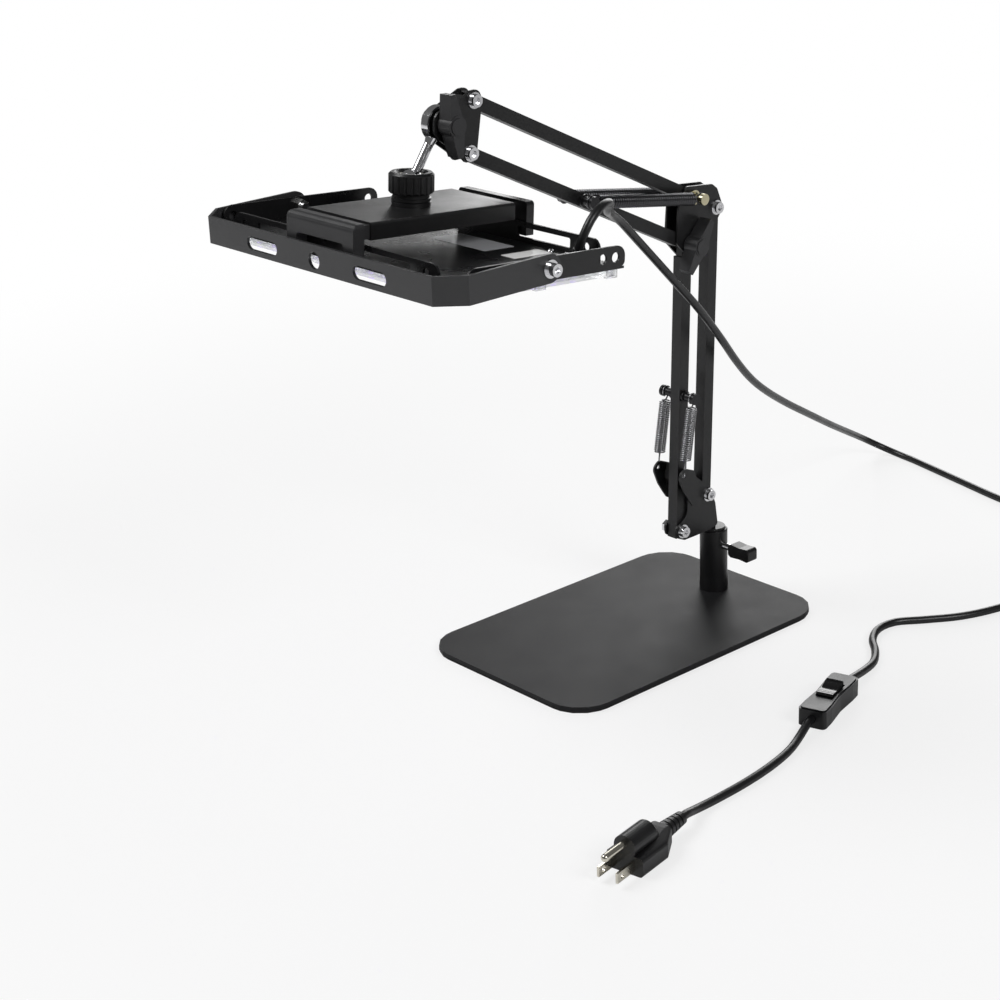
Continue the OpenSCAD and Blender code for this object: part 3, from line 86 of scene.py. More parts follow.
@dataclass(frozen=True)
class Finish:
    """A procedural surface, named for what the maker would call it.

    The colour drifts between two values, the roughness between two others, and a fine
    pattern raises the surface. What is the same all over is set on the shader's socket.
    """

    name: str
    colour: Colour
    drift: Colour
    rough: tuple[float, float]
    pattern: Pattern
    grain: float
    relief: float
    metallic: float = 0.0
    coat: float = 0.0
    coat_rough: float = 0.1
    specular: float = 0.5
    glow: float = 0.0
    transmission: float = 0.0
    alpha: float = 1.0

    def material(self) -> bpy.types.Material:
        """Builds the material once and gives it back on later calls.

        Returns:
            The material of this finish.
        """
        found = bpy.data.materials.get(self.name)
        if found:
            return found
        mat = bpy.data.materials.new(self.name)
        mat.use_nodes = True
        nodes, links = mat.node_tree.nodes, mat.node_tree.links
        shader = nodes["Principled BSDF"]
        self._set_constants(shader)
        coords = nodes.new("ShaderNodeTexCoord")
        stretch = nodes.new("ShaderNodeMapping")
        stretch.inputs["Scale"].default_value = self._stretch()
        links.new(coords.outputs["Object"], stretch.inputs["Vector"])
        broad = self._noise(nodes, links, stretch, DRIFT_SCALE, DRIFT_DETAIL)
        fine = self._fine(nodes, links, stretch)
        tint = nodes.new("ShaderNodeMix")
        tint.data_type = "RGBA"
        tint.inputs["A"].default_value = (*self.colour, 1.0)
        tint.inputs["B"].default_value = (*self.drift, 1.0)
        links.new(broad, tint.inputs["Factor"])
        links.new(tint.outputs["Result"], shader.inputs["Base Color"])
        spread = nodes.new("ShaderNodeMapRange")
        spread.inputs["To Min"].default_value = self.rough[0]
        spread.inputs["To Max"].default_value = self.rough[1]
        spread.inputs["From Min"].default_value = NOISE_SPAN[0]
        spread.inputs["From Max"].default_value = NOISE_SPAN[1]
        links.new(broad, spread.inputs["Value"])
        links.new(spread.outputs["Result"], shader.inputs["Roughness"])
        bump = nodes.new("ShaderNodeBump")
        bump.inputs["Strength"].default_value = self.relief
        bump.inputs["Distance"].default_value = RELIEF_HEIGHT
        links.new(fine, bump.inputs["Height"])
        links.new(bump.outputs["Normal"], shader.inputs["Normal"])
        return mat

    def _set_constants(self, shader: bpy.types.Node) -> None:
        """Sets the sockets whose value is the same all over the surface.

        Args:
            shader: The material's shader node.
        """
        shader.inputs["Metallic"].default_value = self.metallic
        shader.inputs["Specular IOR Level"].default_value = self.specular
        shader.inputs["Coat Weight"].default_value = self.coat
        shader.inputs["Coat Roughness"].default_value = self.coat_rough
        shader.inputs["Transmission Weight"].default_value = self.transmission
        shader.inputs["Alpha"].default_value = self.alpha
        if self.glow:
            shader.inputs["Emission Color"].default_value = (*self.colour, 1.0)
            shader.inputs["Emission Strength"].default_value = self.glow

    def _stretch(self) -> tuple[float, float, float]:
        """Texture scale along each axis; brushed lines run along the piece."""
        return (1.0, 14.0, 14.0) if self.pattern is Pattern.BRUSHED else (1.0, 1.0, 1.0)

    def _noise(self, nodes: bpy.types.Nodes, links: bpy.types.NodeLinks, source: bpy.types.Node,
               scale: float, detail: float) -> bpy.types.NodeSocket:
        """Adds a noise texture.

        Args:
            nodes: The material's nodes.
            links: The material's links.
            source: The node whose Vector output places the noise.
            scale: Size of the noise, in cycles for each metre.
            detail: Octaves of the noise.

        Returns:
            The socket that carries the noise.
        """
        noise = nodes.new("ShaderNodeTexNoise")
        noise.inputs["Scale"].default_value = scale
        noise.inputs["Detail"].default_value = detail
        links.new(source.outputs["Vector"], noise.inputs["Vector"])
        return noise.outputs["Fac"]

    def _fine(self, nodes: bpy.types.Nodes, links: bpy.types.NodeLinks,
              source: bpy.types.Node) -> bpy.types.NodeSocket:
        """Adds the fine relief pattern.

        Args:
            nodes: The material's nodes.
            links: The material's links.
            source: The node whose Vector output places the pattern.

        Returns:
            The socket that carries the pattern.
        """
        if self.pattern in (Pattern.FOAM, Pattern.MOULDED):
            cells = nodes.new("ShaderNodeTexVoronoi")
            cells.inputs["Scale"].default_value = self.grain
            links.new(source.outputs["Vector"], cells.inputs["Vector"])
            return cells.outputs["Distance"]
        return self._noise(nodes, links, source, self.grain, GRAIN_DETAIL)


POWDER_COAT = Finish("black_powder_coat", (0.0060, 0.0060, 0.0065), (0.0095, 0.0095, 0.0102),
                     (0.30, 0.42), Pattern.ORANGE_PEEL, 2600.0, 0.14)
BAR_COAT = Finish("bar_powder_coat", (0.0050, 0.0050, 0.0055), (0.0085, 0.0085, 0.0090),
                  (0.34, 0.46), Pattern.ORANGE_PEEL, 3000.0, 0.18)
PAN_COAT = Finish("pan_powder_coat", (0.0060, 0.0060, 0.0066), (0.0100, 0.0100, 0.0108),
                  (0.24, 0.34), Pattern.ORANGE_PEEL, 2200.0, 0.10)
BASE_COAT = Finish("base_fine_texture", (0.0090, 0.0090, 0.0098), (0.0115, 0.0115, 0.0125),
                   (0.50, 0.54), Pattern.ORANGE_PEEL, 3600.0, 0.25, specular=0.22)
# A lighter copy of the black powder coat, for the front jaw and the lamp's bracket: painted light where
# the lamps fall on them, not a different coat.
JAW_PAINTED_LIGHT_COAT = Finish("jaw_coat_painted_light", (0.0280, 0.0280, 0.0295), (0.0400, 0.0400, 0.0420),
                  (0.28, 0.38), Pattern.ORANGE_PEEL, 2400.0, 0.10)
CHROME = Finish("bright_chrome", (0.82, 0.82, 0.83), (0.72, 0.72, 0.74),
                (0.05, 0.13), Pattern.POLISHED, 900.0, 0.03, metallic=1.0)
ZINC = Finish("zinc_plate", (0.62, 0.62, 0.61), (0.50, 0.50, 0.50),
              (0.22, 0.36), Pattern.BRUSHED, 700.0, 0.08, metallic=1.0)
YELLOW_ZINC = Finish("yellow_zinc_plate", (0.72, 0.67, 0.47), (0.60, 0.55, 0.37),
                     (0.16, 0.30), Pattern.POLISHED, 800.0, 0.06, metallic=1.0)
SPRING_STEEL = Finish("blackened_spring_wire", (0.070, 0.070, 0.074), (0.120, 0.120, 0.126),
                      (0.16, 0.28), Pattern.POLISHED, 1500.0, 0.05, metallic=0.9)
BRIGHT_SPRING = Finish("bright_spring_wire", (0.26, 0.26, 0.27), (0.38, 0.38, 0.39),
                       (0.20, 0.32), Pattern.POLISHED, 1500.0, 0.05, metallic=0.9)
BLACK_STEEL = Finish("black_oxide_steel", (0.014, 0.014, 0.016), (0.030, 0.030, 0.032),
                     (0.24, 0.36), Pattern.POLISHED, 1300.0, 0.08, metallic=0.5)
KNOB = Finish("moulded_knob", (0.0230, 0.0230, 0.0245), (0.0330, 0.0330, 0.0350),
              (0.32, 0.44), Pattern.MOULDED, 1700.0, 0.10)
BLACK_PLASTIC = Finish("black_moulded_plastic", (0.0055, 0.0055, 0.0060), (0.0085, 0.0085, 0.0090),
                       (0.28, 0.40), Pattern.MOULDED, 2000.0, 0.08)
GLOSS_PLASTIC = Finish("gloss_rocker_plastic", (0.0060, 0.0060, 0.0065), (0.0090, 0.0090, 0.0096),
                       (0.12, 0.20), Pattern.MOULDED, 1200.0, 0.04, coat=0.3)
CORD_SHEATH = Finish("cord_sheath", (0.0055, 0.0055, 0.0060), (0.0090, 0.0090, 0.0098),
                     (0.28, 0.38), Pattern.ORANGE_PEEL, 1600.0, 0.08)
NYLON = Finish("natural_nylon", (0.72, 0.71, 0.66), (0.64, 0.63, 0.58),
               (0.35, 0.48), Pattern.MOULDED, 1400.0, 0.08)
BUSH_PLASTIC = Finish("dark_bush_plastic", (0.0200, 0.0085, 0.0070), (0.0290, 0.0125, 0.0105),
                      (0.30, 0.42), Pattern.MOULDED, 1500.0, 0.08)
FOAM = Finish("foam_pad", (0.0070, 0.0070, 0.0076), (0.0120, 0.0120, 0.0128),
              (0.80, 0.92), Pattern.FOAM, 2400.0, 0.7)
BOARD = Finish("white_solder_mask", (0.80, 0.80, 0.79), (0.72, 0.72, 0.71),
               (0.25, 0.35), Pattern.POLISHED, 900.0, 0.04)
DIODE = Finish("violet_diode", (0.32, 0.10, 0.95), (0.42, 0.18, 1.0),
               (0.12, 0.20), Pattern.POLISHED, 2400.0, 0.04, glow=1.4)
CLEAR = Finish("clear_cover_sheet", (0.93, 0.95, 0.97), (0.90, 0.93, 0.96),
               (0.03, 0.07), Pattern.POLISHED, 300.0, 0.02, transmission=1.0, alpha=0.55)
SILVER_FILM = Finish("silver_label_film", (0.74, 0.75, 0.77), (0.64, 0.65, 0.68),
                     (0.30, 0.36), Pattern.BRUSHED, 500.0, 0.01, metallic=0.15)
WHITE_FILM = Finish("white_label_film", (0.82, 0.82, 0.81), (0.75, 0.75, 0.74),
                    (0.30, 0.40), Pattern.MOULDED, 900.0, 0.03)
PIN_BRASS = Finish("nickel_plated_brass", (0.78, 0.75, 0.66), (0.68, 0.64, 0.54),
                   (0.12, 0.24), Pattern.BRUSHED, 800.0, 0.05, metallic=1.0)


def catmull(points: list[Point], step: float) -> list[Point]:
    """Runs a smooth curve through the inner points.

    Args:
        points: The route, whose first and last points only steer its ends.
        step: The wanted distance between points of the result.

    Returns:
        The points of the curve from the second point to the last but one.
    """
    out: list[Point] = []
    for i in range(1, len(points) - 2):
        p0, p1, p2, p3 = points[i - 1 : i + 3]
        count = max(1, round((p2 - p1).length / step))
        for k in range(count):
            t = k / count
            out.append(0.5 * (2 * p1 + (p2 - p0) * t + (2 * p0 - 5 * p1 + 4 * p2 - p3) * t * t
                              + (3 * p1 - p0 - 3 * p2 + p3) * t * t * t))
    out.append(points[-2])
    return out


def ramp(value: float, start: float, span: float) -> float:
    """Share of a climb that is done at a value: 0 up to the start, 1 from a span after it on."""
    return max(0.0, min(1.0, (value - start) / span))


def link(obj: bpy.types.Object) -> bpy.types.Object:
    """Puts a new object in the scene and gives it back."""
    bpy.context.scene.collection.objects.link(obj)
    return obj


def mesh_piece(name: str, verts: list[Point], faces: list[tuple], finish: Finish,
               smooth: bool = True) -> bpy.types.Object:
    """Makes a mesh object from points and faces.

    Args:
        name: The piece's name.
        verts: Its points.
        faces: Its faces, as indices of the points.
        finish: Its finish.
        smooth: Whether its faces are shaded smooth.

    Returns:
        The new object.
    """
    mesh = bpy.data.meshes.new(name)
    mesh.from_pydata([tuple(v) for v in verts], [], faces)
    mesh.update()
    for polygon in mesh.polygons:
        polygon.use_smooth = smooth
    mesh.materials.append(finish.material())
    return link(bpy.data.objects.new(name, mesh))


def wire_mesh(path: list[Point], radius: float) -> tuple[list[Point], list[tuple]]:
    """Sweeps a round wire along a path.

    Args:
        path: The points that the wire follows.
        radius: The wire's radius.

    Returns:
        Its points and its faces.
    """
    sides = WIRE_SIDES
    verts: list[Point] = []
    faces: list[tuple] = []
    side = Vector((0, 0, 1))
    for i, here in enumerate(path):
        ahead = (path[min(i + 1, len(path) - 1)] - path[max(i - 1, 0)]).normalized()
        if abs(side.dot(ahead)) > 0.98:
            side = Vector((1, 0, 0))
        side = (side - ahead * side.dot(ahead)).normalized()
        other = ahead.cross(side)
        for k in range(sides):
            turn = math.tau * k / sides
            verts.append(here + radius * (math.cos(turn) * side + math.sin(turn) * other))
    for i in range(len(path) - 1):
        for k in range(sides):
            a, b = i * sides + k, i * sides + (k + 1) % sides
            faces.append((a, b, b + sides, a + sides))
    faces.append(tuple(reversed(range(sides))))
    faces.append(tuple(range((len(path) - 1) * sides, len(path) * sides)))
    return verts, faces


def soften(obj: bpy.types.Object, width: float) -> None:
    """Rounds the sharp edges of a piece so that they catch the light.

    Args:
        obj: The piece.
        width: Width of the rounding, in metres.
    """
    edge = obj.modifiers.new("edge_rounding", "BEVEL")
    edge.width = width
    edge.segments = EDGE_FACETS
    edge.limit_method = "ANGLE"
    edge.angle_limit = math.radians(SHARP_ANGLE)
    edge.harden_normals = False
    edge.use_clamp_overlap = True
    for polygon in obj.data.polygons:
        polygon.use_smooth = True
    smooth = obj.modifiers.new("even_shading", "WEIGHTED_NORMAL")
    smooth.keep_sharp = True


def dress(finish: Finish, *names: str, edge: float = 0.0) -> None:
    """Gives CAD nodes a finish and rounded edges.

    Args:
        finish: The finish.
        names: The nodes.
        edge: Width of the edge rounding, in millimetres, or 0 for none.
    """
    for name in names:
        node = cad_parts[name]
        node.data.materials.clear()
        node.data.materials.append(finish.material())
        if edge:
            soften(node, edge * MM)
        LOG.info("dressed %s as %s", name, finish.name)


@dataclass(frozen=True)
class SoftLamp:
    """A square lamp: its name, its place, the length of its sides and its power in watts."""

    name: str
    place: tuple[float, float, float]
    size: float
    power: float


@dataclass
class Studio:
    """The camera, the floor and the soft lights.

    The lens and the sensor are in millimetres, and everything else is in metres. Round the object
    the floor shows soft shadows. Further out it fades to plain white, over a stretch that ends at
    fade_ratio times shadow_reach.
    """

    eye: Point = field(default_factory=lambda: Vector((0.9839, -1.0434, 0.6328)))
    right: Point = field(default_factory=lambda: Vector((0.6609, 0.7495, -0.0385)))
    up: Point = field(default_factory=lambda: Vector((-0.2479, 0.2665, 0.9314)))
    lens: float = 76.79
    sensor: float = 36.0
    view_reach: float = 60.0
    floor_size: float = 30.0
    floor_colour: Colour = (0.90, 0.90, 0.905)
    shadow_reach: float = 0.45
    fade_ratio: float = 2.6
    near_white: float = 0.74
    world_level: float = 0.13
    lamp_aim: tuple[float, float, float] = (0.0, -0.12, 0.2)
    lamps: tuple[SoftLamp, ...] = (
        SoftLamp("key_light", (-1.3, -1.5, 2.4), 1.3, 46.0),
        SoftLamp("side_light", (2.2, -0.2, 1.7), 0.9, 26.0),
        SoftLamp("rear_light", (-1.5, 2.1, 1.0), 1.6, 30.0),
    )

    def build(self) -> None:
        """Sets the camera, the floor, the lamps and the world."""
        self._camera()
        self._floor()
        for soft in self.lamps:
            self._hang(soft)
        self._world()
        bpy.context.scene.view_settings.view_transform = "Standard"

    def _camera(self) -> None:
        """Stands the camera where the photograph was taken."""
        data = bpy.data.cameras.new("photo_camera")
        data.lens = self.lens
        data.sensor_width = self.sensor
        data.sensor_fit = "HORIZONTAL"
        data.clip_end = self.view_reach
        camera = link(bpy.data.objects.new("photo_camera", data))
        right = self.right.normalized()
        up = (self.up - right * self.up.dot(right)).normalized()
        back = right.cross(up)
        turn = Matrix((right, up, back)).transposed().to_4x4()
        camera.matrix_world = Matrix.Translation(self.eye) @ turn
        bpy.context.scene.camera = camera

    def _floor(self) -> None:
        """Lays the pale floor."""
        half = self.floor_size / 2
        mesh = bpy.data.meshes.new("studio_floor")
        corners = [(-half, -half, 0), (half, -half, 0), (half, half, 0), (-half, half, 0)]
        mesh.from_pydata(corners, [], [(0, 1, 2, 3)])
        floor = link(bpy.data.objects.new("studio_floor", mesh))
        mat = bpy.data.materials.new("studio_floor")
        mat.use_nodes = True
        nodes, links = mat.node_tree.nodes, mat.node_tree.links
        shader = nodes["Principled BSDF"]
        shader.inputs["Base Color"].default_value = (*self.floor_colour, 1.0)
        shader.inputs["Roughness"].default_value = 0.6
        shader.inputs["Specular IOR Level"].default_value = 0.15
        white = nodes.new("ShaderNodeEmission")
        white.inputs["Color"].default_value = (1.0, 1.0, 1.0, 1.0)
        coords = nodes.new("ShaderNodeTexCoord")
        reach = nodes.new("ShaderNodeVectorMath")
        reach.operation = "LENGTH"
        links.new(coords.outputs["Object"], reach.inputs[0])
        fade = nodes.new("ShaderNodeMapRange")
        fade.interpolation_type = "SMOOTHSTEP"
        fade.inputs["From Min"].default_value = self.shadow_reach
        fade.inputs["From Max"].default_value = self.fade_ratio * self.shadow_reach
        fade.inputs["To Min"].default_value = self.near_white
        links.new(reach.outputs["Value"], fade.inputs["Value"])
        path = nodes.new("ShaderNodeLightPath")
        seen = nodes.new("ShaderNodeMath")
        seen.operation = "MULTIPLY"
        links.new(fade.outputs["Result"], seen.inputs[0])
        links.new(path.outputs["Is Camera Ray"], seen.inputs[1])
        blend = nodes.new("ShaderNodeMixShader")
        links.new(seen.outputs[0], blend.inputs["Fac"])
        links.new(shader.outputs["BSDF"], blend.inputs[1])
        links.new(white.outputs["Emission"], blend.inputs[2])
        links.new(blend.outputs["Shader"], nodes["Material Output"].inputs["Surface"])
        mesh.materials.append(mat)

    def _hang(self, soft: SoftLamp) -> None:
        """Hangs one soft lamp that faces the object.

        Args:
            soft: The lamp's name, place, size and power.
        """
        data = bpy.data.lights.new(soft.name, "AREA")
        data.shape = "SQUARE"
        data.size = soft.size
        data.energy = soft.power
        lamp = link(bpy.data.objects.new(soft.name, data))
        lamp.location = soft.place
        lamp.visible_camera = False
        aim = Vector(self.lamp_aim) - Vector(soft.place)
        lamp.rotation_euler = aim.to_track_quat("-Z", "Y").to_euler()

    def _world(self) -> None:
        """A dim world, plain white where the camera sees it, also through the clear cover."""
        world = bpy.data.worlds.new("studio_world")
        bpy.context.scene.world = world
        world.use_nodes = True
        nodes, links = world.node_tree.nodes, world.node_tree.links
        ground = nodes["Background"]
        ground.inputs["Color"].default_value = (1.0, 1.0, 1.0, 1.0)
        path = nodes.new("ShaderNodeLightPath")
        either = nodes.new("ShaderNodeMath")
        either.operation = "MAXIMUM"
        links.new(path.outputs["Is Camera Ray"], either.inputs[0])
        links.new(path.outputs["Is Transmission Ray"], either.inputs[1])
        level = nodes.new("ShaderNodeMapRange")
        level.inputs["To Min"].default_value = self.world_level
        level.inputs["To Max"].default_value = 1.0
        links.new(either.outputs[0], level.inputs["Value"])
        links.new(level.outputs["Result"], ground.inputs["Strength"])


@dataclass
class CordSet:
    """The mains cord: from the lamp down to the floor, its coil, the switch and the plug.

    The diameter is in metres. Places, heights and routes are in millimetres and angles in degrees.
    The coil runs round coil_turns times and a quarter. Halfway it climbs on top of itself while it
    goes half round. On its last stretch it widens, and then comes down beside itself.
    """

    diameter: float = 5.4 * MM
    roundness: int = 6
    coil_turns: int = 2
    coil_radius: float = 28.6
    coil_at: tuple[float, float] = (130.0, 250.0)
    coil_gap: float = 0.5
    coil_facet: float = 7.5
    climb_angle: float = 180.0
    widen_from: float = 210.0
    widen_angle: float = 130.0
    widen_extra: float = 0.2
    descent_angle: float = 70.0
    gland_at: tuple[float, float] = (87.0, 52.15)
    gland_height: float = 6.2
    gland_lean: tuple[float, float] = (18.0, 4.0)
    switch_at: tuple[float, float] = (182.4, -86.2)
    switch_turn: float = -72.0
    switch_length: float = 57.0
    switch_mouth: float = 6.5
    plug_at: tuple[float, float] = (232.0, -319.0)
    plug_turn: float = -79.5
    plug_reach: float = 57.0
    plug_mouth: float = 8.5
    hanging_points: tuple = (
        (91.7, -201.2, 330.5), (89.4, -190.2, 336.4), (83.5, -177.8, 335.4), (74.8, -170.3, 328.6),
        (66.3, -162.7, 324.5), (59.1, -153.8, 320.8), (53.7, -144.3, 315.8), (49.8, -134.9, 309.6),
        (44.4, -116.9, 294.7), (40.4, -99.1, 279.1), (35.5, -72.5, 255), (30, -45.9, 231),
        (21, -14.9, 201.5), (11.8, 10.2, 177.8), (1.8, 36.6, 156), (-8.7, 65, 137),
        (-23.4, 104.2, 114.4), (-42.3, 154, 87.8), (-62.7, 203.5, 61.9), (-80.7, 243, 42.1),
        (-90.3, 262.5, 32.4), (-94.8, 272.4, 27.5),
    )
    floor_start: tuple = (-98.8, 282.4, 22.4)
    floor_start_way: tuple = (-0.265, 0.853, -0.445)
    floor_points: tuple = (
        (-101.1, 292.7, 16.9), (-97.9, 302.6, 10.8), (-89.7, 309.6, 5.8), (-78.4, 312.1, 3.2),
        (-66.6, 311, 2.75), (-55.1, 308.6, 2.75), (-5, 297, 2.75), (44, 286, 2.75), (86, 282, 2.75),
    )
    switch_points: tuple = (
        (165, 212, 2.75), (170, 180, 2.75), (172, 146, 2.75), (168, 114, 2.75), (158, 85, 2.75),
        (143, 62, 2.75), (131, 45, 2.75), (130, 28, 2.75), (138, 12, 2.75), (151, -1, 2.75),
        (161, -15, 2.75), (166, -31, 3.6),
    )
    plug_points: tuple = (
        (199, -135, 3.4), (205, -151, 2.9), (210, -174, 2.75), (213, -200, 2.75),
        (214, -226, 2.75), (216, -244, 4.5),
    )

    def route(self, start: Point, start_dir: Point, points: list[Point], end: Point,
              end_dir: Point) -> list[Point]:
        """Runs a cord between two ends, straight for one diameter at both.

        Args:
            start: Where it starts.
            start_dir: The way it leaves.
            points: What it passes through.
            end: Where it ends.
            end_dir: The way it arrives.

        Returns:
            Its points, a few millimetres apart.
        """
        first = start + start_dir.normalized() * self.diameter
        last = end - end_dir.normalized() * self.diameter
        inner = catmull([start, first, *points, last, end], CORD_STEP)
        return [start, *inner, end]

    def coil(self) -> list[Point]:
        """Winds the coil: inwards on the floor, then out again a layer higher.

        Returns:
            Its points, one for each facet of a turn.
        """
        d = self.diameter / MM
        step = d + self.coil_gap
        sweep = 360.0 * self.coil_turns + 90.0
        half = sweep / 2
        out = []
        for i in range(int(sweep / self.coil_facet) + 1):
            a = i * self.coil_facet
            side = a if a < half else sweep - a
            widen = (step + self.widen_extra) * ramp(a, sweep - self.widen_from, self.widen_angle)
            r = self.coil_radius + step * (self.coil_turns / 4 - side / 360) + widen
            up = ramp(a, half - self.climb_angle / 2, self.climb_angle)
            down = ramp(a, sweep - self.descent_angle, self.descent_angle)
            ease_up = up * up * (3 - 2 * up)
            ease_down = down * down * (3 - 2 * down)
            turn = math.radians(a)
            out.append(MM * Vector((self.coil_at[0] + r * math.sin(turn),
                                    self.coil_at[1] + r * math.cos(turn),
                                    d / 2 + step * (ease_up - ease_down))))
        return out

    @staticmethod
    def along(place: tuple[float, float], turn: float, distance: float, height: float) -> Point:
        """Finds a point along a piece that lies on the floor.

        Args:
            place: The piece's place on the floor.
            turn: The way that it points, in degrees from +X.
            distance: How far the point is along it.
            height: How far the point is above the floor.

        Returns:
            The point, in metres.
        """
        way = math.radians(turn)
        return MM * Vector((place[0] + distance * math.cos(way),
                            place[1] + distance * math.sin(way), height))

    def curve(self, name: str, path: list[Point], body: str, nodes: tuple[str, ...]) -> bpy.types.Object:
        """Makes a cord's curve.

        Args:
            name: The piece's name.
            path: Its centreline.
            body: The body that it rides on.
            nodes: The CAD nodes that it stands for.

        Returns:
            The curve object.
        """
        data = bpy.data.curves.new(name, "CURVE")
        data.dimensions = "3D"
        data.bevel_depth = self.diameter / 2
        data.bevel_resolution = self.roundness
        data.use_fill_caps = True
        spline = data.splines.new("POLY")
        spline.points.add(len(path) - 1)
        for dot, place in zip(spline.points, path):
            dot.co = (*place, 1.0)
        spline.use_smooth = True
        data.materials.append(CORD_SHEATH.material())
        piece = link(bpy.data.objects.new(name, data))
        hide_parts(*nodes)
        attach(piece, body)
        LOG.info("%s laid over %d points", name, len(path))
        return piece

    def hanging(self) -> list[Point]:
        """Runs the cord from the tip of the lamp's gland to just above the floor.

        Returns:
            Its points.
        """
        lean_x, lean_y = (math.radians(angle) for angle in self.gland_lean)
        out = Vector((math.sin(lean_x) * math.cos(lean_y), math.sin(lean_y),
                      math.cos(lean_x) * math.cos(lean_y)))
        root = (*self.gland_at, LampHead.back_z)
        tip = LampHead.place(*(Vector(root) + self.gland_height * out))
        points = [MM * Vector(p) for p in self.hanging_points]
        return self.route(tip, tip - LampHead.place(*root), points,
                          MM * Vector(self.floor_start), Vector(self.floor_start_way))

    def lead(self) -> list[Point]:
        """Runs the cord from the end of its hanging length, by the coil, to the switch.

        Returns:
            Its points.
        """
        coil = self.coil()
        coil_in = coil[0] - Vector((self.diameter, 0, 0))
        floor = self.route(MM * Vector(self.floor_start), Vector(self.floor_start_way),
                           [MM * Vector(p) for p in self.floor_points], coil_in, Vector((1, 0, 0)))
        coil_out = coil[-1] - Vector((0, self.diameter, 0))
        switch_in = self.along(self.switch_at, self.switch_turn, -self.switch_length / 2,
                               self.switch_mouth)
        to_switch = self.route(coil_out, Vector((0, -1, 0)),
                               [MM * Vector(p) for p in self.switch_points], switch_in,
                               self.along((0, 0), self.switch_turn, 1000.0, 0.0))
        return floor + coil + to_switch

    def tail(self) -> list[Point]:
        """Runs the cord from the switch to the plug.

        Returns:
            Its points.
        """
        switch_out = self.along(self.switch_at, self.switch_turn, self.switch_length / 2,
                                self.switch_mouth)
        plug_in = self.along(self.plug_at, self.plug_turn, -self.plug_reach, self.plug_mouth)
        return self.route(switch_out, self.along((0, 0), self.switch_turn, 1000.0, 0.0),
                          [MM * Vector(p) for p in self.plug_points], plug_in,
                          self.along((0, 0), self.plug_turn, 1000.0, 0.0))

    def build(self) -> None:
        hanging, lead, tail = self.hanging(), self.lead(), self.tail()
        cord_a = self.curve("mains_cord_hanging", hanging, "lamp", ("cord_hanging",))
        cord_b = self.curve("mains_cord_lead", lead, "base",
                            ("cord_floor", "cord_coil", "cord_to_switch"))
        cord_c = self.curve("mains_cord_tail", tail, "base", ("cord_to_plug",))


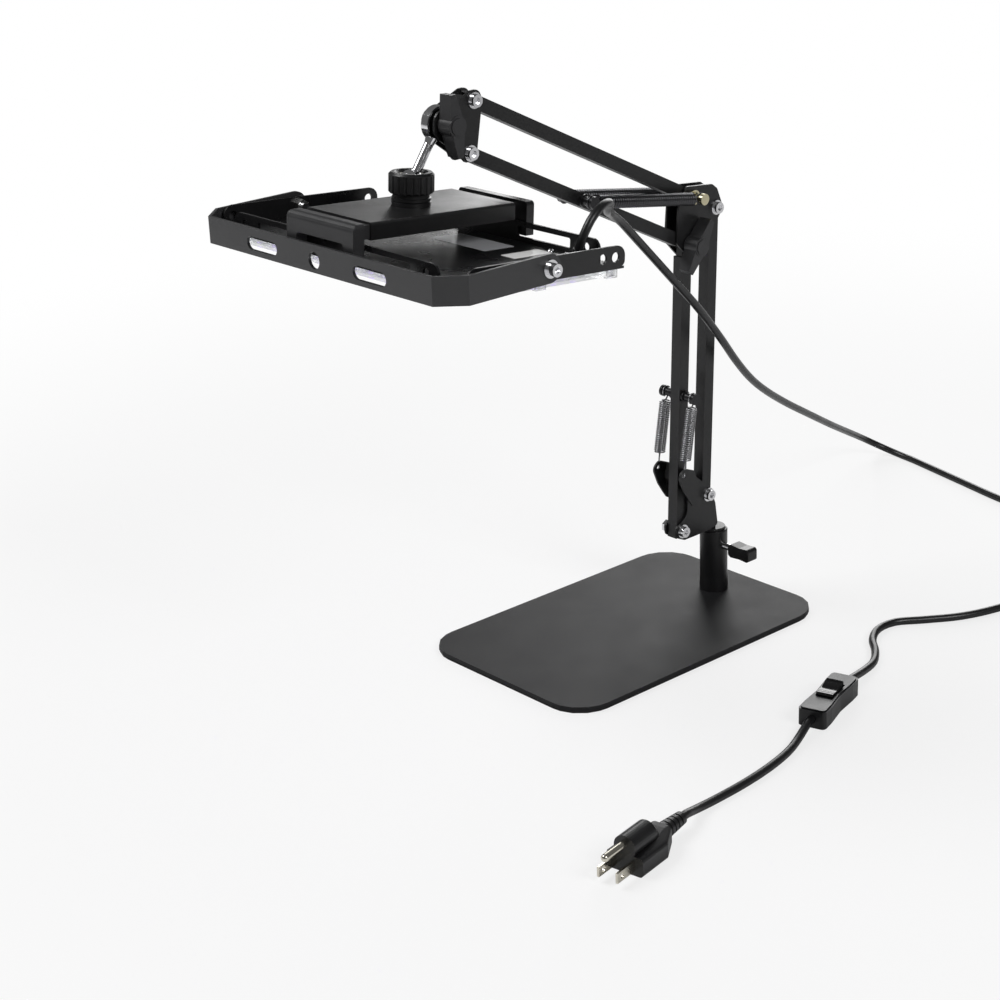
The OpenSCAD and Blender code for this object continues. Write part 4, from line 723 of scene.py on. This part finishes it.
@dataclass
class LampHead:
    """The lamp pan with its board, cover, labels and mounting bracket.

    Its values are in millimetres and degrees. The screw's profile is its radius and height as
    shares of the head's, from the edge of the socket to the rim.
    """

    pitch: float = -4.6
    origin: tuple[float, float] = (-261.4246, 318.9451)
    back_z: float = -6.6
    seat_gap: float = 0.01
    screw_radius: float = 2.3
    screw_height: float = 1.7
    screw_sides: int = 24
    socket_floor: float = 0.45
    screw_profile: tuple = ((0.34, 0.45), (0.40, 0.96), (0.62, 0.90), (0.84, 0.66), (0.97, 0.30),
                            (1.0, 0.0))
    screws: tuple = (("board_screw_front", 63.5, 54.0), ("board_screw_rear", 76.0, 56.0))
    label_top: float = 0.13
    label_radius: float = 1.2
    label_facets: int = 5
    silver_xs: tuple[float, float] = (-12.0, 38.5)
    silver_ys: tuple[float, float] = (23.0, 47.5)
    white_xs: tuple[float, float] = (53.0, 66.0)
    white_ys: tuple[float, float] = (23.0, 53.0)
    pan_edge: float = 0.3
    diode_edge: float = 0.25
    nut_edge: float = 0.15
    bracket_edge: float = 0.35
    bolt_edge: float = 0.25
    spacer_edge: float = 0.15
    gland_edge: float = 0.2

    @classmethod
    def place(cls, x: float, y: float, z: float) -> Point:
        """Turns a point of the lamp's own frame into one of the shared frame.

        Args:
            x: Its place across the lamp, in millimetres.
            y: Its place along the lamp, in millimetres.
            z: Its height on the lamp, in millimetres.

        Returns:
            The point in the shared frame, in metres.
        """
        turn = math.radians(cls.pitch)
        return MM * Vector((x, cls.origin[0] + y * math.cos(turn) - z * math.sin(turn),
                            cls.origin[1] + y * math.sin(turn) + z * math.cos(turn)))

    def build(self) -> None:
        """Dresses the pan and adds the small screws and the bare labels on its back plate."""
        dress(PAN_COAT, "lamp_pan", edge=self.pan_edge)
        dress(BOARD, "led_board")
        dress(DIODE, "leds", edge=self.diode_edge)
        dress(CLEAR, "clear_cover", "cover_clips")
        dress(ZINC, "bracket_nuts", edge=self.nut_edge)
        # The bracket takes the lighter copy of the black coat, which is painted light.
        dress(JAW_PAINTED_LIGHT_COAT, "mounting_bracket", edge=self.bracket_edge)
        dress(CHROME, "bracket_bolts", edge=self.bolt_edge)
        dress(BLACK_PLASTIC, "bracket_spacers", edge=self.spacer_edge)
        dress(CORD_SHEATH, "cord_gland", edge=self.gland_edge)
        for name, x, y in self.screws:
            self._screw(name, x, y)
        self._label("silver_label", self.silver_xs, self.silver_ys, SILVER_FILM)
        self._label("white_label", self.white_xs, self.white_ys, WHITE_FILM)

    def _screw(self, name: str, x: float, y: float) -> None:
        """Sets a small dome-headed screw with a socket on the back plate.

        Args:
            name: The piece's name.
            x: Its place across the lamp.
            y: Its place along the lamp.
        """
        profile, sides = self.screw_profile, self.screw_sides
        verts = [self.place(x, y, self.back_z + self.socket_floor * self.screw_height)]
        for r, h in profile:
            for k in range(sides):
                turn = math.tau * k / sides
                verts.append(self.place(x + r * self.screw_radius * math.cos(turn),
                                        y + r * self.screw_radius * math.sin(turn),
                                        self.back_z + self.seat_gap + h * self.screw_height))
        faces = [(0, 1 + k, 1 + (k + 1) % sides) for k in range(sides)]
        for ring in range(len(profile) - 1):
            for k in range(sides):
                a, b = 1 + ring * sides + k, 1 + ring * sides + (k + 1) % sides
                faces.append((a, a + sides, b + sides, b))
        last = 1 + (len(profile) - 1) * sides
        faces.append(tuple(range(last + sides - 1, last - 1, -1)))
        screw = mesh_piece(name, verts, faces, CHROME)
        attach(screw, "lamp")
        LOG.info("added %s", name)

    def _label(self, name: str, xs: tuple[float, float], ys: tuple[float, float], finish: Finish) -> None:
        """Sticks a bare label with rounded corners on the back plate.

        Args:
            name: The piece's name.
            xs: Its left and right edges in the lamp's frame.
            ys: Its front and rear edges in the lamp's frame.
            finish: Its finish.
        """
        radius, steps = self.label_radius, self.label_facets
        outline = []
        for cx, cy, a0 in ((xs[1] - radius, ys[1] - radius, 0), (xs[0] + radius, ys[1] - radius, 90),
                           (xs[0] + radius, ys[0] + radius, 180), (xs[1] - radius, ys[0] + radius, 270)):
            for k in range(steps + 1):
                a = math.radians(a0 + 90 * k / steps)
                outline.append((cx + radius * math.cos(a), cy + radius * math.sin(a)))
        count = len(outline)
        verts = [self.place(x, y, self.back_z + z) for z in (self.seat_gap, self.label_top)
                 for x, y in outline]
        faces = [tuple(reversed(range(count))), tuple(range(count, 2 * count))]
        faces += [(i, (i + 1) % count, (i + 1) % count + count, i + count) for i in range(count)]
        label = mesh_piece(name, verts, faces, finish, smooth=False)
        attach(label, "lamp")
        LOG.info("added %s", name)


@dataclass
class Holder:
    """The clamp holder that grips the pan, with the ball joint on top.

    Its values are the widths of the edge roundings, in millimetres.
    """

    sheet_edge: float = 0.3
    jaw_edge: float = 0.5
    neck_edge: float = 0.2
    ball_edge: float = 0.25

    def build(self) -> None:
        """Dresses the holder's sheet parts, rods and ball joint."""
        dress(POWDER_COAT, "holder_channel", edge=self.sheet_edge)
        dress(POWDER_COAT, "holder_cover")
        # The front jaw takes the lighter copy of the black coat, which is painted light; the rear jaw
        # keeps the plain coat.
        dress(JAW_PAINTED_LIGHT_COAT, "front_jaw", edge=self.jaw_edge)
        dress(POWDER_COAT, "rear_jaw", edge=self.jaw_edge)
        dress(ZINC, "guide_rods", "jaw_springs")
        dress(BLACK_PLASTIC, "ball_neck", edge=self.neck_edge)
        dress(BLACK_PLASTIC, "ball_collar", edge=self.ball_edge)
        dress(NYLON, "ball_seat")
        dress(CHROME, "ball", "eye_rod", edge=self.ball_edge)
        dress(BUSH_PLASTIC, "eye_bush")


@dataclass
class Spring:
    """A tension spring with a hooked loop at each end.

    Its values are in millimetres, and places are (y, z) in the arm's plane. The end curls grow
    from least_share of the width to the full width, which they reach after 1 / taper of a turn.

    Attributes:
        name: The piece's name.
        node: The CAD node that it stands for.
        x: Where it stands across the arm.
        start: Centre of the pin or hole at its first end.
        end: Centre of the pin at its second end.
        outer: Width over the curls.
        wire: Diameter of the wire.
        curls: Number of curls.
        straight: Length from the centre at each end to the curls.
        hooks: Radius of each loop's centreline.
        bodies: The bodies at its two ends. Not used.
        finish: The wire's finish.
        curl_facets: Points on one curl.
        hook_facets: Stretches of one loop.
        hook_sweep: How far a loop goes round its pin, in degrees.
        hook_lead: How far from the loop its wire meets the coil.
        hook_rise: How far off the middle it does so, as a share of the loop's radius.
    """

    name: str
    node: str
    x: float
    start: tuple[float, float]
    end: tuple[float, float]
    outer: float
    wire: float
    curls: int
    straight: tuple[float, float]
    hooks: tuple[float, float]
    bodies: tuple[str, str]
    finish: Finish = SPRING_STEEL
    curl_facets: int = 14
    taper: float = 1.4
    least_share: float = 0.05
    hook_facets: int = 14
    hook_sweep: float = 250.0
    hook_lead: float = 1.2
    hook_rise: float = 0.3

    def path(self) -> list[Point]:
        """Winds the wire: hook, straight end, curls, straight end, hook.

        Returns:
            The points of its centreline, in metres.
        """
        a = Vector((self.x, *self.start))
        b = Vector((self.x, *self.end))
        along = (b - a).normalized()
        side = Vector((1, 0, 0))
        up = along.cross(side)
        r = (self.outer - self.wire) / 2
        lead_a, lead_b = self.straight
        run = (b - a).length - lead_a - lead_b
        points = self._hook(a, -along, up, self.hooks[0])
        steps = self.curl_facets
        for i in range(steps * self.curls + 1):
            turn = math.tau * i / steps
            ends = min(1.0, i / steps * self.taper, (steps * self.curls - i) / steps * self.taper)
            grow = max(self.least_share, ends)
            points.append(a + along * (lead_a + run * i / (steps * self.curls))
                          + grow * r * (math.cos(turn) * side + math.sin(turn) * up))
        points += list(reversed(self._hook(b, along, up, self.hooks[1])))
        return [MM * p for p in points]

    def _hook(self, at: Point, away: Point, up: Point, radius: float) -> list[Point]:
        """Bends an open loop of wire round a point.

        Args:
            at: The point.
            away: Unit vector from the coil towards the point.
            up: Unit vector across the wire in the arm's plane.
            radius: Radius of the loop's centreline.

        Returns:
            The loop's points, ending on the wire that leads to the coil.
        """
        out = []
        for k in range(self.hook_facets + 1):
            turn = math.radians(self.hook_sweep - self.hook_sweep * k / self.hook_facets)
            out.append(at + radius * (math.sin(turn) * away + math.cos(turn) * up))
        out.append(at - away * (radius + self.hook_lead) + up * radius * self.hook_rise)
        return out

    def build(self) -> None:
        """Winds the spring where it rests and hides the CAD node that it stands for."""
        verts, faces = wire_mesh(self.path(), self.wire * MM / 2)
        piece = mesh_piece(self.name, verts, faces, self.finish)
        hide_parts(self.node)
        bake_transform(piece)
        LOG.info("wound %s", self.name)


@dataclass
class SpringArm:
    """The two linked pairs of tubes, their brackets, bolts, knobs and springs.

    Its values are in millimetres. Pins and holes are (y, z) in the arm's plane.
    """

    spring_x: float = 12.5
    upper_pin: tuple[float, float] = (-125.258, 315.244)
    spring_bolt: tuple[float, float] = (-24.904, 299.113)
    lower_pin: tuple[float, float] = (-34.072, 160.510)
    ear_hole: tuple[float, float] = (-43.5, 106.2)
    upper_width: float = 9.0
    upper_wire: float = 1.6
    upper_curls: int = 42
    upper_straight: tuple[float, float] = (6.5, 6.0)
    upper_hooks: tuple[float, float] = (3.4, 4.0)
    lower_width: float = 8.4
    lower_wire: float = 1.1
    lower_curls: int = 28
    lower_straight: tuple[float, float] = (10.5, 6.0)
    lower_hooks: tuple[float, float] = (1.4, 3.6)
    tube_edge: float = 0.6
    bracket_edge: float = 0.3
    bolt_edge: float = 0.25
    pin_edge: float = 0.4
    knob_edge: float = 0.8

    def build(self) -> None:
        """Dresses the arm and winds its four springs."""
        dress(BAR_COAT, "lower_front_bar", "lower_rear_bar", "upper_bottom_bar", "upper_top_bar",
              edge=self.tube_edge)
        dress(POWDER_COAT, "base_bracket", "elbow_bracket", "head_bracket", edge=self.bracket_edge)
        dress(CHROME, "base_bolts", "elbow_rear_bolt", "head_bolts", "elbow_bolt", "tilt_bolt",
              edge=self.bolt_edge)
        dress(YELLOW_ZINC, "spring_bolt", edge=self.bolt_edge)
        dress(BLACK_STEEL, "lower_spring_pin", "upper_spring_pin", edge=self.pin_edge)
        dress(KNOB, "elbow_knob", "head_knob", edge=self.knob_edge)
        for side, word in ((-1, "left"), (1, "right")):
            Spring(f"upper_spring_wound_{word}", f"upper_spring_{word}", side * self.spring_x,
                   self.spring_bolt, self.upper_pin, self.upper_width, self.upper_wire,
                   self.upper_curls, self.upper_straight, self.upper_hooks,
                   ("elbow", "upper_bottom")).build()
            Spring(f"lower_spring_wound_{word}", f"lower_spring_{word}", side * self.spring_x,
                   self.ear_hole, self.lower_pin, self.lower_width, self.lower_wire,
                   self.lower_curls, self.lower_straight, self.lower_hooks,
                   ("swivel", "lower_front"), BRIGHT_SPRING).build()


@dataclass
class BaseStand:
    """The base plate, its pad, the post and the clamp screw.

    Its values are the widths of the edge roundings, in millimetres.
    """

    plate_edge: float = 0.6
    post_edge: float = 0.3
    screw_edge: float = 0.2
    grip_edge: float = 0.6

    def build(self) -> None:
        """Dresses the base."""
        dress(BASE_COAT, "base_plate", edge=self.plate_edge)
        dress(FOAM, "base_pad")
        dress(POWDER_COAT, "post", "swivel_pin", edge=self.post_edge)
        dress(ZINC, "post_screw", edge=self.screw_edge)
        dress(CHROME, "clamp_screw", edge=self.screw_edge)
        dress(BLACK_PLASTIC, "clamp_grip", edge=self.grip_edge)


@dataclass
class SwitchAndPlug:
    """The cord switch and the three-pin plug.

    Its values are the widths of the edge roundings, in millimetres.
    """

    shell_edge: float = 0.7
    rocker_edge: float = 0.4
    plug_edge: float = 0.6
    blade_edge: float = 0.3

    def build(self) -> None:
        """Dresses the switch and the plug."""
        dress(BLACK_PLASTIC, "switch_top", "switch_base", edge=self.shell_edge)
        dress(GLOSS_PLASTIC, "switch_rocker", edge=self.rocker_edge)
        dress(CORD_SHEATH, "plug_body", edge=self.plug_edge)
        dress(PIN_BRASS, "plug_pins", edge=self.blade_edge)


def main() -> None:
    """Builds the studio and every sub-assembly in order."""
    logging.basicConfig(level=logging.INFO, format="%(name)s: %(message)s")
    for part in (Studio(), CordSet(), LampHead(), Holder(), SpringArm(), BaseStand(), SwitchAndPlug()):
        part.build()
        LOG.info("%s is in place", type(part).__name__)


if __name__ == "__main__":
    main()
